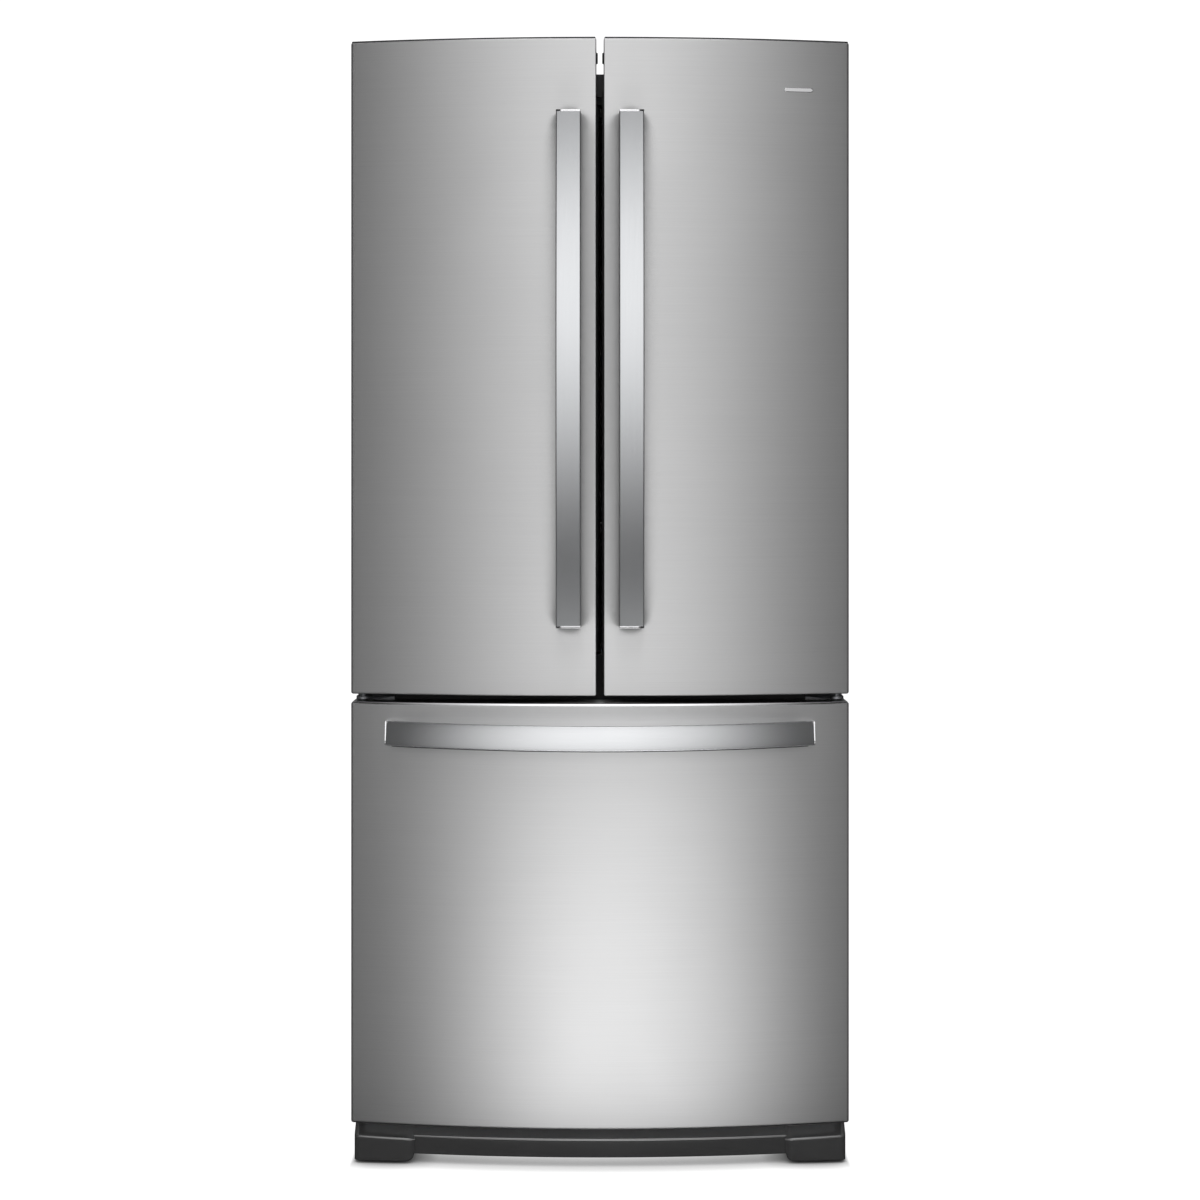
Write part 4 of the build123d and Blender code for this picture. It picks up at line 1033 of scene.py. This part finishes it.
# %% Corner covers
low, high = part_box("foot_covers")
inner_x = 282 * MM
outer_x = high.x
builder = bmesh.new()
for side in (-1, 1):
    rings = []
    for k in range(33):
        t = k / 32
        x = inner_x + (outer_x - inner_x) * t
        near_in = max(0.0, 1 - (x - inner_x) / (13 * MM))
        near_out = max(0.0, 1 - (outer_x - x) / (6 * MM))
        bottom = low.z + 13 * MM * (1 - sqrt(max(0.0, 1 - near_in**2)))
        top = high.z - 2 * MM * near_out**2
        front = low.y + 4 * MM * near_in**2 + 6 * MM * (1 - sqrt(max(0.0, 1 - near_out**2)))
        front += 6 * MM * t**2
        profile = ridge_profile(bottom, 37.5 * MM + 4.5 * MM * t, top, 19 * MM, 6 * MM)
        ring = [Vector((side * x, front + back, z)) for back, z in profile]
        ring += [Vector((side * x, high.y, top)), Vector((side * x, high.y, bottom))]
        rings.append(ring)
    rows = bridge_rings(builder, rings, closed=True)
    builder.faces.new(rows[0])
    builder.faces.new(rows[-1])
covers = even_normals(make_piece("corner_covers", builder, finish["base_plastic"]))
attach(covers, "cabinet")
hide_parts("foot_covers")
print("corner covers", len(covers.data.polygons), "faces")

# %% [markdown]
# ## Bumpers and badge
# Small dark bumpers sit on the two door edges that face each other. The badge keeps its place near the top
# of the right door, but it is a plain plate with nothing written on it.

# %% Bumpers
for side, sign in (("left", -1), ("right", 1)):
    builder = bmesh.new()
    inner = abs(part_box(side + "_door_skin")[1 if sign < 0 else 0].x)
    across = lambda a, b, height, sign=sign, inner=inner: Vector((sign * (inner + 1 * MM - height), a, b))
    outline = rounded_outline((-345 * MM, 1671 * MM), (-325 * MM, 1686 * MM), (4 * MM,) * 4)
    add_prism(builder, outline, 0.0, 3.2 * MM, 1.6 * MM, across)
    bumper = even_normals(make_piece(side + "_bumper", builder, finish["seal"]))
    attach(bumper, side + "_door")
print("bumpers", len(bumper.data.polygons), "faces each")

# %% Blank badge
builder = bmesh.new()
rings = []
for inset, lift in ((0.0, -0.5), (0.0, 0.6), (0.4, 1.0), (1.2, 1.0)):
    ring = []
    for a, b in rounded_outline((-22 * MM, -3 * MM), (22 * MM, 3 * MM), (2.9 * MM,) * 4):
        x = 300 * MM + a * (1 - inset / 22)
        z = 1629 * MM + b * (1 - inset / 3)
        ring.append((x, front_y(x) - lift * MM, z))
    rings.append(ring)
rows = bridge_rings(builder, rings, closed=True)
builder.faces.new(rows[-1])
badge = even_normals(make_piece("blank_badge", builder, finish["bright_ends"]))
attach(badge, "right_door")
print("badge", [round(v, 3) for v in badge.dimensions])

# %% [markdown]
# ## Door seals
# A seal is one hollow profile that runs round the door in a rounded rectangle: a flat foot on the door, two
# bellows and a magnetic bar at the front. The same profile serves both doors and the drawer.

# %% Seals


def ring_path(low, high, radius, steps=8):
    """Rounded rectangle in X and Z as (x, z, outward x, outward z)."""
    stations = []
    for x, z, r, angle in corner_walk(low, high, (radius,) * 4, steps):
        stations.append((x + r * cos(angle), z + r * sin(angle), cos(angle), sin(angle)))
    return stations


def bridge_loop(builder, rings):
    """Fill between closed rings that themselves close into a loop."""
    rows = [[builder.verts.new(point) for point in ring] for ring in rings]
    for lower, upper in zip(rows, rows[1:] + rows[:1]):
        for i in range(len(lower)):
            j = (i + 1) % len(lower)
            builder.faces.new((lower[i], lower[j], upper[j], upper[i]))


def add_seal(builder, low, high, front, back, width):
    """One bellows ring. It widens from low to high in X and Z, and fills from front to back in Y."""
    deep = back - front
    shape = (
        (0.0, 0.0), (0.0, 0.12), (0.14, 0.2), (0.1, 0.32), (0.0, 0.42), (0.12, 0.55), (0.02, 0.68),
        (0.02, 0.96), (0.1, 1.0), (0.9, 1.0), (0.98, 0.96), (0.98, 0.68), (0.88, 0.55), (1.0, 0.42),
        (0.9, 0.32), (0.86, 0.2), (1.0, 0.12), (1.0, 0.0),
    )
    rings = []
    for x, z, out_x, out_z in ring_path(low, high, width + 4 * MM):
        ring = []
        for inward, forward in shape:
            ring.append((x - out_x * width * inward, front + deep * forward, z - out_z * width * inward))
        rings.append(ring)
    bridge_loop(builder, rings)


for side in ("left", "right"):
    low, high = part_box(side + "_door_gasket")
    builder = bmesh.new()
    add_seal(builder, (low.x, low.z), (high.x, high.z), low.y, high.y, 20 * MM)
    seal = make_piece(side + "_door_seal", builder, finish["seal"])
    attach(seal, side + "_door")
    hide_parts(side + "_door_gasket")
low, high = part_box("drawer_gasket")
builder = bmesh.new()
add_seal(builder, (low.x + 15 * MM, 74 * MM), (high.x - 15 * MM, 690 * MM), DOOR_BACK_Y, high.y, 18 * MM)
# A dark strip across the drawer top behind its front: a seal retainer, and also painted shade for the gap
# under the doors.
strip = rounded_outline((low.x, -0.300), (high.x, DOOR_BACK_Y), (2 * MM,) * 4, steps=3)
add_prism(builder, strip, 690 * MM, 697 * MM, 1 * MM, upright)
seal = make_piece("drawer_seal", builder, finish["seal"])
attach(seal, "freezer_drawer")
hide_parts("drawer_gasket")
print("seal faces", len(seal.data.polygons))

# %% [markdown]
# ## Clear tubs
# Door bins and crispers are moulded tubs: rounded in plan, a little narrower at the bottom, with a thick
# rim. A stack of rounded outlines goes up the outside, over the rim, and down the inside to the floor.

# %% Tubs


def tub_levels(low, high, wall, draft, corner, rim):
    """Outlines of a tub as (inset, height, radius), from its foot up the outside and down the inside."""
    levels = []
    for k in range(5):
        turn = pi / 2 * k / 4
        levels.append((draft + 5 * MM * (1 - sin(turn)), low + 5 * MM * (1 - cos(turn)), corner))
    levels += [(draft * 0.3, high - rim * 2.2, corner), (rim * 0.35, high - rim * 1.9, corner)]
    levels += [(0.0, high - rim * 1.5, corner), (0.0, high - 0.5 * MM, corner), (0.5 * MM, high, corner)]
    levels += [(wall - 0.5 * MM, high, corner), (wall, high - 0.6 * MM, corner)]
    for k in range(5):
        turn = pi / 2 * (4 - k) / 4
        inset, rise = 4 * MM * (1 - sin(turn)), 4 * MM * (1 - cos(turn))
        levels.append((draft + wall + inset, low + wall + rise, corner))
    return levels


along_x = lambda a, b, height: Vector((height, a, b))


def add_tub(builder, low, high, wall, draft, corner, rim):
    """One open tub between two corners of a box."""
    rings = []
    for inset, z, radius in tub_levels(low[2], high[2], wall, draft, corner, rim):
        r = max(radius - inset, 1.5 * MM)
        near, far = (low[0] + inset, low[1] + inset), (high[0] - inset, high[1] - inset)
        outline = rounded_outline(near, far, (r,) * 4, 6)
        rings.append([(x, y, z) for x, y in outline])
    rows = bridge_rings(builder, rings, closed=True)
    builder.faces.new(rows[0])
    builder.faces.new(rows[-1])


BIN_TALL = 90 * MM
for side, sign in (("left", -1), ("right", 1)):
    low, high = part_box(side + "_door_bins")
    builder = bmesh.new()
    for level in (low.z, (low.z + high.z - BIN_TALL) / 2, high.z - BIN_TALL):
        near, far = (low.x, low.y, level), (high.x, high.y, level + BIN_TALL)
        add_tub(builder, near, far, 3 * MM, 2.5 * MM, 16 * MM, 4 * MM)
    bins = even_normals(make_piece(side + "_clear_bins", builder, finish["clear_bin"]))
    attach(bins, side + "_door")
    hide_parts(side + "_door_bins")

    low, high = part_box("crisper_" + side)
    builder = bmesh.new()
    add_tub(builder, (low.x, -95 * MM, low.z), (high.x, high.y, high.z), 2.5 * MM, 3.5 * MM, 14 * MM, 5 * MM)
    grip_low, grip_high = sorted((sign * 20 * MM, sign * 304 * MM))
    grip_radii = (1 * MM, 1 * MM, 8 * MM, 4 * MM)
    shape = rounded_outline((low.y, high.z - 30 * MM), (-92 * MM, high.z - 4 * MM), grip_radii)
    add_prism(builder, shape, grip_low, grip_high, 3 * MM, along_x)
    tub = even_normals(make_piece("crisper_tub_" + side, builder, finish["clear_bin"]))
    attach(tub, "crisper_" + side)
    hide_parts("crisper_" + side)
print("bin faces", len(bins.data.polygons), "crisper faces", len(tub.data.polygons))

# %% [markdown]
# ## A node group that repeats wires
# A wire basket is a few wires drawn once and repeated. The node group takes one bent wire as edges. It
# rounds the bends and gives the wire its thickness. Then it sets copies along a line and makes them real.

# %% Geometry group helpers


def geometry_group(name, kinds):
    """An empty geometry node group. Returns it with its input node, its output node and its input keys."""
    group = bpy.data.node_groups.new(name, "GeometryNodeTree")
    for label, kind in {"Geometry": "Geometry", **kinds}.items():
        group.interface.new_socket(name=label, in_out="INPUT", socket_type="NodeSocket" + kind)
    group.interface.new_socket(name="Geometry", in_out="OUTPUT", socket_type="NodeSocketGeometry")
    keys = {item.name: item.identifier for item in group.interface.items_tree if item.in_out == "INPUT"}
    return group, group.nodes.new("NodeGroupInput"), group.nodes.new("NodeGroupOutput"), keys


def grow(name, points, links, group, keys, values):
    """A plain mesh piece that a geometry node group makes from points and edges."""
    mesh = bpy.data.meshes.new(name)
    mesh.from_pydata(points, links, [])
    piece = bpy.data.objects.new(name, mesh)
    scene.collection.objects.link(piece)
    maker = piece.modifiers.new("grow", "NODES")
    maker.node_group = group
    for label, value in values.items():
        maker[keys[label]] = value
    return bake(piece)


# %% Repeat wire group
wire_kinds = {"Count": "Int", "Step": "Vector", "Wire radius": "Float", "Bend radius": "Float"}
wire_kinds["Material"] = "Material"
wire_group, given, result, WIRE_KEYS = geometry_group("Repeat wire", wire_kinds)
centre_line = add_node(wire_group, "GeometryNodeMeshToCurve")
bends = add_node(wire_group, "GeometryNodeFilletCurve")
for socket in bends.inputs:
    if socket.name == "Count":
        socket.default_value = 5
if hasattr(bends, "mode"):
    bends.mode = "POLY"
ring = add_node(wire_group, "GeometryNodeCurvePrimitiveCircle", Resolution=8)
tube = add_node(wire_group, "GeometryNodeCurveToMesh")
tube.inputs["Fill Caps"].default_value = True
row = add_node(wire_group, "GeometryNodeMeshLine", mode="OFFSET")
copies = add_node(wire_group, "GeometryNodeInstanceOnPoints")
real = add_node(wire_group, "GeometryNodeRealizeInstances")
smooth = add_node(wire_group, "GeometryNodeSetShadeSmooth")
paint = add_node(wire_group, "GeometryNodeSetMaterial")
join(wire_group, given.outputs["Geometry"], centre_line.inputs["Mesh"])
join(wire_group, centre_line.outputs["Curve"], bends.inputs["Curve"])
join(wire_group, given.outputs["Bend radius"], bends.inputs["Radius"])
join(wire_group, given.outputs["Wire radius"], ring.inputs["Radius"])
join(wire_group, bends.outputs["Curve"], tube.inputs["Curve"])
join(wire_group, ring.outputs["Curve"], tube.inputs["Profile Curve"])
join(wire_group, given.outputs["Count"], row.inputs["Count"])
join(wire_group, given.outputs["Step"], row.inputs["Offset"])
join(wire_group, row.outputs["Mesh"], copies.inputs["Points"])
join(wire_group, tube.outputs["Mesh"], copies.inputs["Instance"])
join(wire_group, copies.outputs["Instances"], real.inputs["Geometry"])
join(wire_group, real.outputs["Geometry"], smooth.inputs["Geometry"])
join(wire_group, smooth.outputs["Geometry"], paint.inputs["Geometry"])
join(wire_group, given.outputs["Material"], paint.inputs["Material"])
join(wire_group, paint.outputs["Geometry"], result.inputs["Geometry"])


def repeat_wire(name, points, count, step, radius, bend, closed=False):
    """One row of equal wires as a plain mesh piece."""
    links = [(i, i + 1) for i in range(len(points) - 1)]
    if closed:
        links.append((len(points) - 1, 0))
    values = {"Count": count, "Step": step, "Wire radius": radius, "Bend radius": bend}
    values["Material"] = finish["white_wire"]
    return grow(name, points, links, wire_group, WIRE_KEYS, values)


def join_pieces(name, parts):
    """Several plain pieces as one."""
    builder = bmesh.new()
    for part in parts:
        builder.from_mesh(part.data)
        material = part.data.materials[0]
        bpy.data.objects.remove(part)
    return make_piece(name, builder, material)


# %% Freezer baskets


def wire_basket(name, half_width, columns, rows, body, node):
    """A basket of bent wires in the box of a node, with hanging rails out to its sides."""
    low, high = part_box(node)
    rim_x = high.x
    x0, y0, z0 = -half_width, low.y, low.z
    x1, y1, z1 = half_width, high.y, high.z
    thin, thick = 1.6 * MM, 2.6 * MM
    z0, z1 = z0 + thin, z1 - thick
    in_x, in_y, lift = x0 + 10 * MM, y0 + 8 * MM, z0 + 3 * MM
    across = [(x0 + thin, in_y, z1), (x0 + thin, in_y, z0), (x1 - thin, in_y, z0), (x1 - thin, in_y, z1)]
    along = [(in_x, y0 + thin, z1), (in_x, y0 + thin, lift), (in_x, y1 - thin, lift), (in_x, y1 - thin, z1)]
    left, right, front, back = x0 + thick, x1 - thick, y0 + thick, y1 - thick
    hoop = [(left, front), (right, front), (right, back), (left, back)]
    bands = max(2, round((z1 - z0) / (55 * MM)))
    rise = (z1 - z0) / bands
    first_hoop = [(x, y, z0 + rise) for x, y in hoop]
    parts = [
        repeat_wire("across", across, rows, (0, (y1 - y0 - 16 * MM) / (rows - 1), 0), thin, 9 * MM),
        repeat_wire("along", along, columns, ((x1 - x0 - 20 * MM) / (columns - 1), 0, 0), thin, 9 * MM),
        repeat_wire("hoops", first_hoop, bands - 1, (0, 0, rise), thin, 12 * MM, True),
        repeat_wire("top", [(x, y, z1) for x, y in hoop], 1, (0, 0, 0), thick, 14 * MM, True),
    ]
    for side, edge in ((-1, x0), (1, x1)):
        rail = side * (rim_x - thick)
        bracket = [(edge - side * 2 * MM, y0 + 30 * MM, z1), (rail, y0 + 30 * MM, z1)]
        parts.append(repeat_wire("bracket", bracket, 5, (0, (y1 - y0 - 60 * MM) / 4, 0), thick, 0.0))
        ends = [(rail, y0 + 12 * MM, z1), (rail, y1 - 12 * MM, z1)]
        parts.append(repeat_wire("rail", ends, 1, (0, 0, 0), thick, 0.0))
    basket = join_pieces(name, parts)
    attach(basket, body)
    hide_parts(node)
    return basket


lower = wire_basket("lower_wires", 0.285, 17, 12, "freezer_drawer", "lower_basket")
upper = wire_basket("upper_wires", 0.300, 19, 17, "upper_basket", "upper_basket")
print("wire faces", len(lower.data.polygons), len(upper.data.polygons))

# %% [markdown]
# ## Screws
# One pan-head screw is modelled and set on every fixing place of the rear panel and the machine cover. A
# second node group turns each copy to the face it stands on.

# %% Screw and its node group
builder = bmesh.new()
rings = []
for radius, rise in ((4.0, 0.0), (4.0, 0.6), (3.6, 1.4), (2.6, 2.0), (1.9, 2.1), (1.6, 1.0), (0.2, 0.9)):
    ring_points = []
    for k in range(24):
        angle = 2 * pi * k / 24
        pinch = 1.0 if radius > 1.95 or radius < 0.5 else 1.0 - 0.62 * abs(sin(2 * angle)) ** 0.7
        ring_points.append((radius * pinch * cos(angle) * MM, radius * pinch * sin(angle) * MM, rise * MM))
    rings.append(ring_points)
rows = bridge_rings(builder, rings, closed=True)
builder.faces.new(rows[-1])
screw = make_piece("screw_master", builder, finish["zinc_steel"])

screw_kinds = {"Screw": "Object", "Turn": "Rotation", "Material": "Material"}
screw_group, given, result, SCREW_KEYS = geometry_group("Place screws", screw_kinds)
master = add_node(screw_group, "GeometryNodeObjectInfo")
copies = add_node(screw_group, "GeometryNodeInstanceOnPoints")
real = add_node(screw_group, "GeometryNodeRealizeInstances")
paint = add_node(screw_group, "GeometryNodeSetMaterial")
join(screw_group, given.outputs["Screw"], master.inputs["Object"])
join(screw_group, given.outputs["Geometry"], copies.inputs["Points"])
join(screw_group, master.outputs["Geometry"], copies.inputs["Instance"])
join(screw_group, given.outputs["Turn"], copies.inputs["Rotation"])
join(screw_group, copies.outputs["Instances"], real.inputs["Geometry"])
join(screw_group, real.outputs["Geometry"], paint.inputs["Geometry"])
join(screw_group, given.outputs["Material"], paint.inputs["Material"])
join(screw_group, paint.outputs["Geometry"], result.inputs["Geometry"])


def place_screws(name, points, turn):
    """Screws standing on points, turned by Euler angles in radians."""
    values = {"Screw": screw, "Turn": turn, "Material": finish["zinc_steel"]}
    return grow(name, points, [], screw_group, SCREW_KEYS, values)


# %% Fixing places
rear_low, rear_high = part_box("rear_panel")
cover_low, cover_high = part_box("machine_cover")
on_rear, on_cover = [], []
for k in range(9):
    z = rear_low.z + 0.02 + (rear_high.z - rear_low.z - 0.04) * k / 8
    on_rear += [(rear_low.x + 0.012, rear_high.y, z), (rear_high.x - 0.012, rear_high.y, z)]
for k in range(1, 6):
    x = rear_low.x + 0.012 + (rear_high.x - rear_low.x - 0.024) * k / 6
    on_rear.append((x, rear_high.y, rear_high.z - 0.02))
for k in range(5):
    x = cover_low.x + 0.012 + (cover_high.x - cover_low.x - 0.024) * k / 4
    for z in (cover_high.z - 0.008, cover_low.z + 0.008):
        on_cover.append((x, cover_high.y - 0.0006, z))
backwards = (radians(-90), 0, 0)
parts = [place_screws("rear", on_rear, backwards), place_screws("cover", on_cover, backwards)]
screws = join_pieces("panel_screws", parts)
bpy.data.objects.remove(screw)
for face in screws.data.polygons:
    face.use_smooth = False
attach(screws, "cabinet")
print("screws", len(on_rear) + len(on_cover))

# %% [markdown]
# ## Small inner parts
# A lamp cover is set into the ceiling of the fresh food space, and a soft ring lines the cable hole behind.

# %% Lamp cover and cable ring
builder = bmesh.new()
lamp_outline = rounded_outline((-0.085, 0.02), (0.085, 0.14), (12 * MM,) * 4)
add_prism(builder, lamp_outline, 1626 * MM, 1635 * MM, 5 * MM, upright)
lamp_cover = even_normals(make_piece("lamp_cover", builder, finish["lamp_lens"]))
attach(lamp_cover, "cabinet")
builder = bmesh.new()
rings = []
for k in range(32):
    angle = 2 * pi * k / 32
    around = Vector((cos(angle), 0, sin(angle)))
    centre = Vector((-0.030, 0.4286, 0.090)) + around * 9.0 * MM
    ring_points = []
    for j in range(10):
        turn = 2 * pi * j / 10
        ring_points.append(centre + around * 2.2 * MM * cos(turn) + Vector((0, 1, 0)) * 1.4 * MM * sin(turn))
    rings.append(ring_points)
bridge_loop(builder, rings)
cable_ring = make_piece("cable_ring", builder, finish["seal"])
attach(cable_ring, "cabinet")
print("small parts placed")

# %% [markdown]
# ## Measure and finish
# The box round the dressed object is measured.

# %% Measure the object
low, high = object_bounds()
